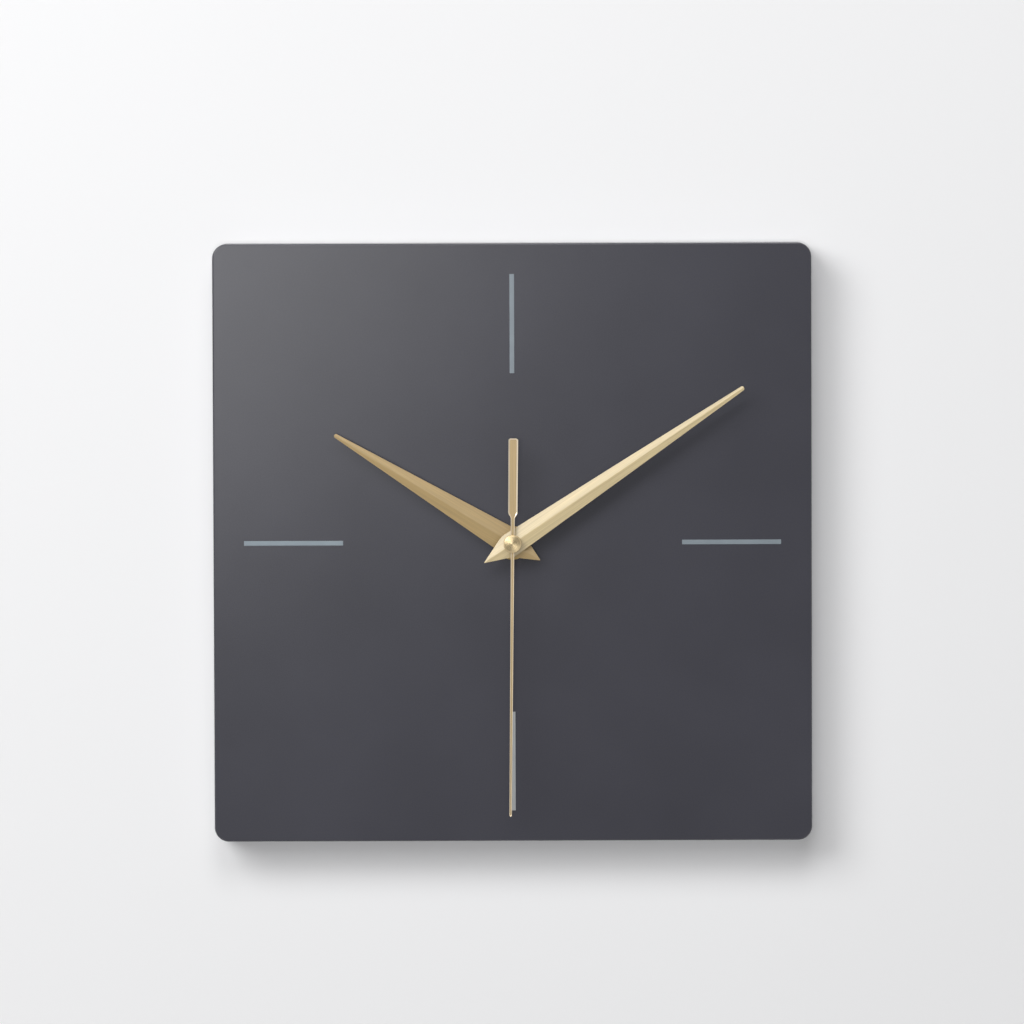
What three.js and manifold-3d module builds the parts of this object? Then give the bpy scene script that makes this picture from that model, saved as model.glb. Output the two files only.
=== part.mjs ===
// Square wall clock: a painted board with four hour marks, three brass hands and a
// quartz movement in a pocket behind. Millimetres. X runs to the right as the clock is
// read, Z runs up and Y runs into the wall. The origin is the axis of the nail, on the
// wall's face. "Front" is the lower Y of a piece and "back" the higher one.
import * as THREE from 'three';
import { mergeVertices } from 'three/addons/utils/BufferGeometryUtils.js';
import Module from 'manifold-3d';

const wasm = await Module();
wasm.setup();

// Board
const bodySize = 250;
const bodyCorner = 6;
const bodyEdge = 1.4;
const webThickness = 4;
const hangerToTop = 27;

// Hour marks
const markWidth = 1.95;
const markLength = 41.4;
const markThickness = 0.2;
const markToEdge = 12.8;

// Wall pads
const padDiameter = 16;
const padThickness = 1;
const padToEdge = 17;

// Keyhole plate and its screws
const plateWidth = 46;
const plateAbove = 8;
const plateBelow = 18;
const plateCorner = 3;
const plateThickness = 1.2;
const plateProud = 0.2;
const plateClearance = 0.2;
const keySlotWidth = 4.6;
const keyEntryDiameter = 10;
const keyEntryDrop = 10;
const nailPocketMargin = 2;
const nailPocketDepth = 8;
const plateScrewToEnd = 6;
const hangerScrewSpread = plateWidth - 2 * plateScrewToEnd;
const screwDiameter = 3;
const screwHeadDiameter = 6;
const screwLength = 11;
const screwPoint = 2;
const screwSunk = 0.05;
const screwEndGap = 0.1;
const screwClearance = 0.1;
const crossLength = 3;
const crossWidth = 0.6;
const crossDepth = 0.5;

// Battery cell, size AA
const cellDiameter = 14;
const cellLength = 50.5;
const cellNubDiameter = 5.4;
const cellNubLength = 1.2;
const cellRimChamfer = 0.5;
const cellClearance = 0.2;
const baySideClearance = 0.3;
const leafRoom = 2;
const padRoom = 1.1;

// Movement case
const caseSideWall = 1.2;
const caseFrontWall = 1;
const bayWall = 1;
const caseCorner = 2.5;
const coverThickness = 1;
const coverGap = 0.1;
const caseToWall = 0.8;
const fingerGap = 9;
const pocketGap = 3;
const pocketCorner = 4;
const bayCorner = 1;
const pillarRadius = 1.5;
const pillarInset = 2.8;
const pillarDrop = 0.8;
const notchRoom = 0.7;

// Fixing through the dial
const bushingDiameter = 8;
const bushingFlangeDiameter = 10.4;
const bushingFlangeThickness = 0.6;
const bushingProud = 1.3;
const dialHoleClearance = 0.15;
const rubberThickness = 0.8;
const rubberDiameter = 16;
const dialWasherThickness = 0.5;
const dialWasherDiameter = 12;
const nutThickness = 2.2;
const nutDiameter = 14;
const nutChamfer = 0.35;

// Tubes and arbors, one inside the other
const secondsArborRadius = 0.5;
const cannonRadius = 1.6;
const hourTubeRadius = 2.5;
const runningClearance = 0.1;
const seatClearance = 0.06;
const arborRadius = 0.45;
const pivotClearance = 0.08;
const pivotDepth = 0.7;
const pivotEndGap = 0.1;

// Gear train: centre distances, teeth and bearings seen from the hub
const thirdDistance = 8.5;
const thirdBearing = 190;
const transferDistance = 8.4;
const transferBearing = 100;
const rotorDistance = 7;
const rotorBearing = 60;
const motionDistance = 8.4;
const motionBearing = 330;
const settingBearing = 45;
const secondsPinionTeeth = 8;
const thirdWheelTeeth = 60;
const thirdPinionTeeth = 8;
const centreWheelTeeth = 64;
const secondsWheelTeeth = 40;
const transferPinionTeeth = 8;
const transferWheelTeeth = 48;
const rotorPinionTeeth = 8;
const cannonPinionTeeth = 12;
const motionWheelTeeth = 36;
const motionPinionTeeth = 10;
const hourWheelTeeth = 40;
const settingPinionTeeth = 12;

// Tooth forms, as parts of a module and of half a tooth's pitch
const pinionTooth = { above: 0.6, below: 1.9, tip: 0.2 };
const wheelTooth = { above: 0.85, below: 1.8, tip: 0.17 };

// Layers of the movement
const layerGap = 0.5;
const motionThickness = 1;
const wheelThickness = 0.8;
const trainPlateThickness = 1;
const statorThickness = 0.8;
const wheelToWall = 0.4;
const plateToSide = 1.2;
const plateToBay = 0.3;
const plateBelowStator = 0.2;
const clutchThickness = 0.3;
const clutchDiameter = 4.4;
const clutchGap = 0.05;
const collarRadius = 1;

// Step motor
const magnetRadius = 3;
const magnetThickness = 1.5;
const magnetGap = 0.25;
const magnetAirGap = 0.5;
const rotorPivotLength = 1.1;
const bossWall = 1;
const bossOverPivot = 0.6;
const statorSpan = 30;
const statorBar = 8.4;
const statorLeg = 3.6;
const coreHeight = 3;
const bobbinFlangeHeight = 7.2;
const bobbinFlangeDepth = 4.8;
const bobbinFlangeThickness = 0.8;
const bobbinWall = 0.5;
const bobbinGap = 0.1;
const bobbinToLeg = 0.2;
const coilGap = 0.3;
const coilInset = 0.5;
const coilToTop = 0.8;
const pegRadius = 0.8;

// Circuit board and contacts
const boardThickness = 0.8;
const boardStripHeight = 5.1;
const boardLegWidth = 10.5;
const boardLegTop = 12;
const boardToCover = 0.4;
const boardToSide = 0.2;
const boardToBay = 0.3;
const boardPostRadius = 1;
const boardPostInset = 3.6;
const boardPostRise = 2.4;
const boardPostToTop = 3;
const chipRadius = 2.4;
const chipCrownRadius = 1.9;
const chipShoulder = 0.7;
const chipThickness = 1;
const chipBelowHub = 1;
const crystalRadius = 1;
const crystalLength = 6;
const crystalAboveHub = 5.5;
const contactThickness = 0.3;
const contactWidth = 7.2;
const contactGap = 0.05;
const contactPadRadius = 3;
const contactBelowCell = 6;
const contactAboveBay = 3;
const leafWidth = 4.8;
const leafTipRise = 3.5;
const leafTipShare = 0.55;

// Setting knob
const knobRadius = 5.5;
const knobThickness = 2.3;
const knobRibs = 28;
const knobRibDepth = 0.35;
const knobGap = 0.3;
const knobSunk = 0.1;
const knobRim = 1.6;
const knobDishDepth = 0.4;
const gripWidth = 1.2;
const gripHeight = 0.5;
const gripToEdge = 1.7;
const bowlClearance = 0.7;
const bowlWall = 0.8;
const settingShaftRadius = 1.2;
const knobSocketDepth = 1.6;

// Hands
const hourAngle = 301.5;
const minuteAngle = 56.1;
const secondAngle = 180.6;
const sheetThickness = 0.5;
const foldSlope = 0.2126;
const tubeStep = 0.3;
const hourTipToEdge = 38;
const hourHalfWidth = 6;
const hourTipRadius = 0.85;
const hourWaist = 1;
const hourTail = 13.7;
const hourRidge = 6.4;
const hourBushWall = 0.35;
const hourBushFlange = 4;
const minuteTipToEdge = 8.7;
const minuteHalfWidth = 5;
const minuteTipRadius = 0.95;
const minuteWaist = 2.3;
const minuteTail = 14.5;
const minuteBulge = 0.1;
const minuteRidgeStep = 2.9;
const minuteBushWall = 0.4;
const minuteBushFlange = 2.8;
const secondTipToEdge = 11;
const secondTipHalfWidth = 0.5;
const secondRootHalfWidth = 0.7;
const secondTail = 44;
const weightHalfWidth = 2;
const weightRootHalfWidth = 1.95;
const weightLength = 31.4;
const weightShoulder = 1.5;
const weightCorner = 0.3;
const weightCrownHalf = 1.1;
const stemHalfWidth = 0.8;
const secondHubRadius = 2.1;
const secondHubFlat = 1.3;
const secondHubTaper = 3.2;
const secondThickness = 0.5;
const secondChamfer = 0.2;
const secondGap = 1.1;
const secondTubeRadius = 1.1;
const secondNeckRadius = 0.85;
const capDiameter = 7.5;
const capRimHeight = 0.55;
const capChamfer = 0.45;
const capHeight = 1.35;
const capWall = 0.4;
const capHollow = 0.4;

// Numbers of flats on round pieces, and of steps in a rounded corner
const fineSides = 40;
const tubeSides = 24;
const pinSides = 12;
const knobTip = 0.4;
const boardCornerSteps = 6;
const boardEdgeSteps = 3;
const cornerSteps = 3;
const bladeSteps = 8;

// How far a cutting solid runs past the faces that it cuts
const past = 1;
const degree = Math.PI / 180;

// Planes worked out from the sizes above
const half = bodySize / 2;
const hangerToHub = half - hangerToTop;
const caseDepth = caseFrontWall + cellDiameter + 2 * cellClearance;
const bodyThickness = webThickness + rubberThickness + caseDepth + caseToWall - padThickness;
const wallPlane = 0;
const backPlane = wallPlane - padThickness;
const dialPlane = backPlane - bodyThickness;
const pocketFloor = dialPlane + webThickness;
const caseFront = pocketFloor + rubberThickness;
const caseInside = caseFront + caseFrontWall;
const caseBack = caseFront + caseDepth;
const coverInside = caseBack - coverThickness;

function layer(front, thickness) {
  return { front, back: front + thickness };
}

// A span that runs past both faces of another, for a cut.
function through({ front, back }) {
  return { front: front - past, back: back + past };
}

const hourLayer = layer(caseInside + layerGap, motionThickness);
const motionLayer = layer(hourLayer.back + layerGap, motionThickness);
const centreLayer = layer(motionLayer.back + layerGap, wheelThickness);
const thirdLayer = layer(centreLayer.back + layerGap, wheelThickness);
const secondsLayer = layer(thirdLayer.back + layerGap, wheelThickness);
const transferLayer = layer(secondsLayer.back + layerGap, wheelThickness);
const trainPlate = layer(transferLayer.back + layerGap, trainPlateThickness);
const statorLayer = layer(trainPlate.back, statorThickness);
const coreLayer = layer(statorLayer.back, statorThickness);
const boardLayer = layer(coverInside - boardToCover - boardThickness, boardThickness);

// Gear geometry
function moduleOf(distance, teethA, teethB) {
  return 2 * distance / (teethA + teethB);
}

function outerRadius(teeth, module, tooth) {
  return module * (teeth / 2 + tooth.above);
}

// The angle of a tooth of gear B, so that it meshes with gear A along the line of centres.
function meshPhase(teethA, phaseA, teethB, direction) {
  const stepA = 2 * Math.PI / teethA;
  const offset = direction - phaseA - Math.round((direction - phaseA) / stepA) * stepA;
  return direction + Math.PI + offset * teethA / teethB + Math.PI / teethB;
}

function along(from, distance, bearing) {
  const angle = bearing * degree;
  return { x: from.x + distance * Math.cos(angle), z: from.z + distance * Math.sin(angle), angle };
}

const hub = { x: 0, z: 0 };
const third = along(hub, thirdDistance, thirdBearing);
const transfer = along(hub, transferDistance, transferBearing);
const rotor = along(transfer, rotorDistance, rotorBearing);
const motion = along(hub, motionDistance, motionBearing);
const settingDistance = motionDistance * (motionWheelTeeth + settingPinionTeeth)
  / (cannonPinionTeeth + motionWheelTeeth);
const setting = along(motion, settingDistance, settingBearing);

const thirdModule = moduleOf(thirdDistance, secondsPinionTeeth, thirdWheelTeeth);
const centreModule = moduleOf(thirdDistance, thirdPinionTeeth, centreWheelTeeth);
const transferModule = moduleOf(transferDistance, secondsWheelTeeth, transferPinionTeeth);
const rotorModule = moduleOf(rotorDistance, transferWheelTeeth, rotorPinionTeeth);
const cannonModule = moduleOf(motionDistance, cannonPinionTeeth, motionWheelTeeth);
const hourModule = moduleOf(motionDistance, motionPinionTeeth, hourWheelTeeth);

const thirdPhase = meshPhase(secondsPinionTeeth, 0, thirdWheelTeeth, third.angle);
const centrePhase = meshPhase(thirdPinionTeeth, thirdPhase, centreWheelTeeth, third.angle + Math.PI);
const transferPhase = meshPhase(secondsWheelTeeth, 0, transferPinionTeeth, transfer.angle);
const rotorPhase = meshPhase(transferWheelTeeth, transferPhase, rotorPinionTeeth, rotor.angle);
const motionPhase = meshPhase(cannonPinionTeeth, 0, motionWheelTeeth, motion.angle);
const hourPhase = meshPhase(motionPinionTeeth, motionPhase, hourWheelTeeth, motion.angle + Math.PI);
const settingPhase = meshPhase(motionWheelTeeth, motionPhase, settingPinionTeeth, setting.angle);

// Room for the train and the motor round the hub
const thirdReach = outerRadius(thirdWheelTeeth, thirdModule, wheelTooth);
const motionReach = outerRadius(motionWheelTeeth, cannonModule, wheelTooth);
const centreReach = outerRadius(centreWheelTeeth, centreModule, wheelTooth);
const reachBelow = Math.max(thirdReach - third.z, motionReach - motion.z, centreReach);
const roomBelow = reachBelow + wheelToWall;
const coilZ = rotor.z + statorBar / 2 + coilGap + bobbinFlangeHeight / 2;
const roomAbove = coilZ + bobbinFlangeHeight / 2 + coilToTop;
const roomHalfWidth = (cellLength + leafRoom + padRoom) / 2;
const bayTop = -roomBelow - bayWall;
const bayHeight = cellDiameter + 2 * baySideClearance;
const bayBottom = bayTop - bayHeight;
const caseHalfWidth = roomHalfWidth + caseSideWall;
const caseTop = roomAbove + caseSideWall;
const caseBottom = bayBottom - caseSideWall;
const cellZ = (bayTop + bayBottom) / 2;
const cellY = caseInside + cellClearance + cellDiameter / 2;
const cellFlatEnd = -roomHalfWidth + leafRoom;
const cellNubEnd = cellFlatEnd + cellLength;
const bearings = [third, transfer, motion, rotor, setting];

// Tube radii from the inside out, and heights of their ends above the dial
const cannonBore = secondsArborRadius + runningClearance;
const hourBore = cannonRadius + runningClearance;
const bushingBore = hourTubeRadius + runningClearance;
const nutTop = dialWasherThickness + nutThickness;
const bushingTop = nutTop + bushingProud;
const minuteRidge = hourRidge + minuteRidgeStep;
const hourTubeTop = hourRidge + tubeStep / 2;
const cannonTop = minuteRidge - tubeStep;
const secondBottom = minuteRidge + secondGap;
const secondTop = secondBottom + secondThickness;
const arborTop = secondTop + tubeStep;

// Geometry helpers
function facingOut(geometry) {
  const place = geometry.attributes.position;
  const index = geometry.index.array;
  const a = new THREE.Vector3();
  const b = new THREE.Vector3();
  const c = new THREE.Vector3();
  let volume = 0;
  for (let i = 0; i < index.length; i += 3) {
    a.fromBufferAttribute(place, index[i]);
    b.fromBufferAttribute(place, index[i + 1]);
    c.fromBufferAttribute(place, index[i + 2]);
    volume += a.dot(b.cross(c));
  }
  if (volume >= 0) return index;
  const turned = new Uint32Array(index.length);
  for (let i = 0; i < index.length; i += 3) {
    turned.set([index[i], index[i + 2], index[i + 1]], i);
  }
  return turned;
}

// A closed geometry as a solid that can be joined and cut.
function solid(geometry) {
  const bare = geometry.clone();
  bare.deleteAttribute('normal');
  bare.deleteAttribute('uv');
  const merged = mergeVertices(bare, 1e-4);
  const corners = facingOut(merged);
  const faces = [];
  for (let i = 0; i < corners.length; i += 3) {
    const [a, b, c] = corners.slice(i, i + 3);
    if (a !== b && b !== c && c !== a) faces.push(a, b, c);
  }
  return new wasm.Manifold(new wasm.Mesh({
    numProp: 3,
    vertProperties: new Float32Array(merged.attributes.position.array),
    triVerts: new Uint32Array(faces),
  }));
}

function toGeometry(body) {
  const mesh = body.getMesh();
  const geometry = new THREE.BufferGeometry();
  geometry.setAttribute('position', new THREE.BufferAttribute(new Float32Array(mesh.vertProperties), 3));
  geometry.setIndex(new THREE.BufferAttribute(new Uint32Array(mesh.triVerts), 1));
  const flat = geometry.toNonIndexed();
  flat.computeVertexNormals();
  return flat;
}

// A shape drawn in X and Z, made solid between two depths.
function slab(shape, { front, back }, curveSegments = cornerSteps) {
  const options = { depth: back - front, bevelEnabled: false, curveSegments };
  const geometry = new THREE.ExtrudeGeometry(shape, options);
  geometry.rotateX(Math.PI / 2);
  geometry.translate(0, back, 0);
  return solid(geometry);
}

// A slab whose front and back rims are rounded, or chamfered with one step.
function easedSlab(shape, { front, back }, edge, steps, curveSegments = cornerSteps) {
  const geometry = new THREE.ExtrudeGeometry(shape, {
    depth: back - front - 2 * edge,
    bevelThickness: edge,
    bevelSize: edge,
    bevelOffset: -edge,
    bevelSegments: steps,
    curveSegments,
  });
  geometry.rotateX(Math.PI / 2);
  geometry.translate(0, back - edge, 0);
  return solid(geometry);
}

function rod(radius, { front, back }, sides = pinSides) {
  const geometry = new THREE.CylinderGeometry(radius, radius, back - front, sides);
  geometry.translate(0, (front + back) / 2, 0);
  return solid(geometry);
}

function tube(outer, bore, span, sides = tubeSides) {
  return turned([
    [bore, span.front],
    [outer, span.front],
    [outer, span.back],
    [bore, span.back],
    [bore, span.front],
  ], sides);
}

// A profile of radius and depth, turned about the Y axis.
function turned(profile, sides = tubeSides) {
  const points = profile.map(([radius, depth]) => new THREE.Vector2(radius, depth));
  return solid(new THREE.LatheGeometry(points, sides));
}

function block(left, right, bottom, top, { front, back }) {
  const geometry = new THREE.BoxGeometry(right - left, back - front, top - bottom);
  geometry.translate((left + right) / 2, (front + back) / 2, (bottom + top) / 2);
  return solid(geometry);
}

function roundedRect(left, right, bottom, top, radius) {
  const shape = new THREE.Shape();
  shape.moveTo(left + radius, bottom);
  shape.lineTo(right - radius, bottom);
  shape.absarc(right - radius, bottom + radius, radius, -Math.PI / 2, 0);
  shape.lineTo(right, top - radius);
  shape.absarc(right - radius, top - radius, radius, 0, Math.PI / 2);
  shape.lineTo(left + radius, top);
  shape.absarc(left + radius, top - radius, radius, Math.PI / 2, Math.PI);
  shape.lineTo(left, bottom + radius);
  shape.absarc(left + radius, bottom + radius, radius, Math.PI, 1.5 * Math.PI);
  return shape;
}

function polygon(points) {
  return new THREE.Shape(points.map(([x, z]) => new THREE.Vector2(x, z)));
}

function gearOutline(teeth, module, tooth) {
  const pitch = module * teeth / 2;
  const outer = pitch + tooth.above * module;
  const inner = pitch - tooth.below * module;
  const step = Math.PI / teeth;
  const points = [];
  for (let i = 0; i < teeth; i += 1) {
    for (const [radius, side] of [[inner, -1], [outer, -tooth.tip], [outer, tooth.tip]]) {
      const angle = (2 * i + side) * step;
      points.push([radius * Math.cos(angle), radius * Math.sin(angle)]);
    }
  }
  return polygon(points);
}

function gear(teeth, module, tooth, span) {
  return slab(gearOutline(teeth, module, tooth), span);
}

// The outline of a strip of even thickness along a run of points.
function stripOutline(run, thickness) {
  const left = [];
  const right = [];
  run.forEach(([x, z], i) => {
    const before = run[Math.max(i - 1, 0)];
    const after = run[Math.min(i + 1, run.length - 1)];
    const inward = new THREE.Vector2(x - before[0], z - before[1]).normalize();
    const outward = new THREE.Vector2(after[0] - x, after[1] - z).normalize();
    const way = inward.clone().add(outward).normalize();
    const lead = i === 0 ? outward : inward;
    const reach = thickness / 2 / Math.max(way.dot(lead), 0.5);
    left.push([x - way.y * reach, z + way.x * reach]);
    right.unshift([x + way.y * reach, z - way.x * reach]);
  });
  return polygon([...left, ...right]);
}

function above(height) {
  return dialPlane - height;
}

// From one height above the dial up to another.
function rise(low, high) {
  return { front: above(high), back: above(low) };
}

// Materials
function finish(color, roughness, metalness) {
  return new THREE.MeshStandardMaterial({ color, roughness, metalness });
}

const finishes = {
  paint: finish(0x403f44, 0.62, 0),
  mark: finish(0x8b9298, 0.7, 0),
  brass: finish(0xc9a86a, 0.32, 1),
  steel: finish(0xb4b6b8, 0.35, 1),
  darkSteel: finish(0x5a5c60, 0.45, 1),
  felt: finish(0x2e2e30, 0.95, 0),
  casePlastic: finish(0x1d1d1f, 0.55, 0),
  rubber: finish(0x18181a, 0.9, 0),
  gearPlastic: finish(0xe9e6dc, 0.5, 0),
  pinionPlastic: finish(0xd0453c, 0.5, 0),
  copper: finish(0xb4643a, 0.4, 1),
  board: finish(0x2d6b45, 0.55, 0),
  chip: finish(0x141416, 0.35, 0),
  magnet: finish(0x4a4a4e, 0.4, 0.8),
  cellSleeve: finish(0x3a6f8f, 0.35, 0.2),
};

const clock = new THREE.Group();
const dial = new THREE.Group();
dial.position.set(0, 0, -hangerToHub);
clock.add(dial);

function place(name, body, material, parent = dial, x = 0, z = 0) {
  const mesh = new THREE.Mesh(toGeometry(body), material);
  mesh.name = name;
  mesh.position.set(x, 0, z);
  parent.add(mesh);
  return mesh;
}

// Turned so that a tooth points at the given angle, measured from X towards Z.
function placeGear(name, body, material, axis, phase) {
  const mesh = place(name, body, material, dial, axis.x, axis.z);
  mesh.rotation.y = -phase;
}

// Board
function hangerSpan(depth) {
  return { front: backPlane + plateProud - plateThickness - depth, back: backPlane + past };
}

const plateBack = backPlane + plateProud;
const plateFront = plateBack - plateThickness;
const plateOutline = (gap) => roundedRect(
  -plateWidth / 2 - gap,
  plateWidth / 2 + gap,
  -plateBelow - gap,
  plateAbove + gap,
  plateCorner,
);
const screwZ = (plateAbove - plateBelow) / 2;
const nailPocketHalf = keyEntryDiameter / 2 + nailPocketMargin;

function clockBody() {
  const board = easedSlab(
    roundedRect(-half, half, -half, half, bodyCorner),
    { front: dialPlane, back: backPlane },
    bodyEdge,
    boardEdgeSteps,
    boardCornerSteps,
  ).translate(0, 0, -hangerToHub);
  const pocket = slab(
    roundedRect(
      -caseHalfWidth - fingerGap,
      caseHalfWidth + fingerGap,
      caseBottom - pocketGap,
      caseTop + pocketGap,
      pocketCorner,
    ),
    { front: pocketFloor, back: backPlane + past },
  ).translate(0, 0, -hangerToHub);
  const hubHole = rod(
    bushingDiameter / 2 + dialHoleClearance,
    through({ front: dialPlane, back: pocketFloor }),
    tubeSides,
  ).translate(0, 0, -hangerToHub);
  const rebate = slab(plateOutline(plateClearance), hangerSpan(0));
  const nailPocket = slab(
    roundedRect(
      -nailPocketHalf,
      nailPocketHalf,
      -keyEntryDrop - nailPocketHalf,
      keySlotWidth / 2 + nailPocketMargin,
      nailPocketMargin,
    ),
    hangerSpan(nailPocketDepth),
  );
  let body = board.subtract(pocket).subtract(hubHole).subtract(rebate).subtract(nailPocket);
  for (const side of [-1, 1]) {
    const pilot = rod(screwDiameter / 2 + screwClearance, hangerSpan(screwLength));
    body = body.subtract(pilot.translate(side * hangerScrewSpread / 2, 0, screwZ));
  }
  return body;
}

place('clock_body', clockBody(), finishes.paint, clock);

// Hour marks, clockwise from the top
['hour_mark_12', 'hour_mark_3', 'hour_mark_6', 'hour_mark_9'].forEach((name, quarter) => {
  const outer = half - markToEdge;
  const bar = block(-markWidth / 2, markWidth / 2, outer - markLength, outer, rise(0, markThickness));
  place(name, bar, finishes.mark).rotation.y = quarter * Math.PI / 2;
});

// Wall pads
for (const [rowName, row] of [['top', 1], ['bottom', -1]]) {
  for (const [sideName, side] of [['left', -1], ['right', 1]]) {
    const pad = rod(padDiameter / 2, { front: backPlane, back: wallPlane }, tubeSides);
    const reach = half - padToEdge;
    place(`wall_pad_${rowName}_${sideName}`, pad, finishes.felt, dial, side * reach, row * reach);
  }
}

// Keyhole plate: a round entry for the nail's head, and a slot above it for the shank
const countersink = [
  [0, plateFront - past],
  [screwDiameter / 2 + screwClearance, plateFront - past],
  [screwDiameter / 2 + screwClearance, plateFront],
  [screwHeadDiameter / 2 + screwClearance, plateBack],
  [screwHeadDiameter / 2 + screwClearance, plateBack + past],
  [0, plateBack + past],
];

function keyholePlate() {
  const span = { front: plateFront, back: plateBack };
  const cut = through(span);
  const entry = rod(keyEntryDiameter / 2, cut, tubeSides).translate(0, 0, -keyEntryDrop);
  const slotEnd = rod(keySlotWidth / 2, cut, tubeSides);
  const slot = block(-keySlotWidth / 2, keySlotWidth / 2, -keyEntryDrop, 0, cut);
  let plate = slab(plateOutline(0), span).subtract(entry).subtract(slotEnd).subtract(slot);
  for (const side of [-1, 1]) {
    plate = plate.subtract(turned(countersink).translate(side * hangerScrewSpread / 2, 0, screwZ));
  }
  return plate;
}

function hangerScrew() {
  const top = plateBack - screwSunk;
  const tipDepth = plateFront - screwLength + screwEndGap;
  const screw = turned([
    [0, top],
    [screwHeadDiameter / 2, top],
    [screwDiameter / 2, plateFront - screwSunk],
    [screwDiameter / 2, tipDepth + screwPoint],
    [0, tipDepth],
  ]);
  const recess = { front: top - crossDepth, back: top + past };
  const flatBar = block(-crossLength / 2, crossLength / 2, -crossWidth / 2, crossWidth / 2, recess);
  const upBar = block(-crossWidth / 2, crossWidth / 2, -crossLength / 2, crossLength / 2, recess);
  return screw.subtract(flatBar).subtract(upBar);
}

place('keyhole_plate', keyholePlate(), finishes.steel, clock);
place('hanger_screw_left', hangerScrew(), finishes.steel, clock, -hangerScrewSpread / 2, screwZ);
place('hanger_screw_right', hangerScrew(), finishes.steel, clock, hangerScrewSpread / 2, screwZ);

// Fixing through the dial
const bushingFlangeBack = caseInside;
const bushingFlangeFront = caseInside - bushingFlangeThickness;
place('threaded_bushing', turned([
  [bushingBore, bushingFlangeBack],
  [bushingFlangeDiameter / 2, bushingFlangeBack],
  [bushingFlangeDiameter / 2, bushingFlangeFront],
  [bushingDiameter / 2, bushingFlangeFront],
  [bushingDiameter / 2, above(bushingTop)],
  [bushingBore, above(bushingTop)],
  [bushingBore, bushingFlangeBack],
]), finishes.brass);
const aroundBushing = bushingDiameter / 2 + dialHoleClearance;
const rubberSpan = { front: pocketFloor, back: caseFront };
place('rubber_washer', tube(rubberDiameter / 2, aroundBushing, rubberSpan), finishes.rubber);
place('dial_washer', tube(dialWasherDiameter / 2, aroundBushing, rise(0, dialWasherThickness)), finishes.brass);
place('fixing_nut', turned([
  [bushingDiameter / 2 + runningClearance, above(dialWasherThickness)],
  [nutDiameter / 2, above(dialWasherThickness)],
  [nutDiameter / 2, above(nutTop - nutChamfer)],
  [nutDiameter / 2 - nutChamfer, above(nutTop)],
  [bushingDiameter / 2 + runningClearance, above(nutTop)],
  [bushingDiameter / 2 + runningClearance, above(dialWasherThickness)],
], fineSides), finishes.brass);

// Movement case: a gear room above and an open battery bay below
const pillarSpots = [-1, 1].flatMap((side) => [
  [side * (roomHalfWidth - pillarInset), -roomBelow + pillarInset - pillarDrop],
  [side * (roomHalfWidth - pillarInset), rotor.z + statorBar / 2 - pillarInset],
]);
const notchWidth = contactThickness + notchRoom;
const contactSpan = layer(cellY - contactWidth / 2, contactWidth);

function movementCase() {
  const outline = (top, radius) => roundedRect(
    -caseHalfWidth,
    caseHalfWidth,
    caseBottom,
    top,
    radius,
  );
  const gearRoom = { front: caseInside, back: caseBack + past };
  let shell = slab(outline(caseTop, caseCorner), { front: caseFront, back: coverInside });
  shell = shell.add(slab(outline(-roomBelow, bayCorner), { front: caseFront, back: caseBack }));
  shell = shell.subtract(block(-roomHalfWidth, roomHalfWidth, -roomBelow, roomAbove, gearRoom));
  shell = shell.subtract(block(-roomHalfWidth, roomHalfWidth, bayBottom, bayTop, gearRoom));
  for (const [x, z] of pillarSpots) {
    const pillar = rod(pillarRadius, { front: caseFront, back: trainPlate.front });
    shell = shell.add(pillar.translate(x, 0, z));
  }
  for (const axis of bearings) {
    const hole = rod(arborRadius + pivotClearance, {
      front: caseInside - pivotDepth,
      back: caseInside + past,
    });
    shell = shell.subtract(hole.translate(axis.x, 0, axis.z));
  }
  const flangeSeat = rod(
    bushingFlangeDiameter / 2 + seatClearance,
    { front: bushingFlangeFront, back: caseInside + past },
    tubeSides,
  );
  const bushingHole = rod(
    bushingDiameter / 2 + seatClearance,
    through({ front: caseFront, back: caseInside }),
    tubeSides,
  );
  shell = shell.subtract(flangeSeat).subtract(bushingHole);
  for (const side of [-1, 1]) {
    const inner = side * (roomHalfWidth - notchWidth);
    const outer = side * roomHalfWidth;
    const notch = { front: contactSpan.front - contactGap, back: contactSpan.back + contactGap };
    shell = shell.subtract(block(
      Math.min(inner, outer),
      Math.max(inner, outer),
      bayTop - past,
      -roomBelow + past,
      notch,
    ));
  }
  return shell;
}

place('movement_case', movementCase(), finishes.casePlastic);

// Back cover over the gear room, with a bowl for the setting knob and a boss for the rotor
const knobSpan = layer(caseBack - knobSunk - knobThickness, knobThickness);
const bowlFloor = layer(knobSpan.front - knobGap - bowlWall, bowlWall);
const bowlRadius = knobRadius + bowlClearance;
const magnetSpan = layer(trainPlate.back + magnetGap, magnetThickness);
const rotorEnd = magnetSpan.back + rotorPivotLength;

function backCover() {
  const span = { front: coverInside, back: caseBack };
  const outline = roundedRect(
    -caseHalfWidth,
    caseHalfWidth,
    -roomBelow + coverGap,
    caseTop,
    caseCorner,
  );
  const bowl = rod(bowlRadius + bowlWall, { front: bowlFloor.front, back: caseBack }, tubeSides);
  const bowlInside = rod(bowlRadius, { front: bowlFloor.back, back: caseBack + past }, tubeSides);
  const shaftHole = rod(settingShaftRadius + runningClearance, through(bowlFloor), tubeSides);
  const bossFront = rotorEnd - bossOverPivot;
  const boss = rod(arborRadius + bossWall, { front: bossFront, back: caseBack });
  const bossHole = rod(arborRadius + pivotClearance, {
    front: bossFront - past,
    back: rotorEnd + pivotEndGap,
  });
  return slab(outline, span)
    .add(bowl.translate(setting.x, 0, setting.z))
    .subtract(bowlInside.translate(setting.x, 0, setting.z))
    .subtract(shaftHole.translate(setting.x, 0, setting.z))
    .add(boss.translate(rotor.x, 0, rotor.z))
    .subtract(bossHole.translate(rotor.x, 0, rotor.z));
}

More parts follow.
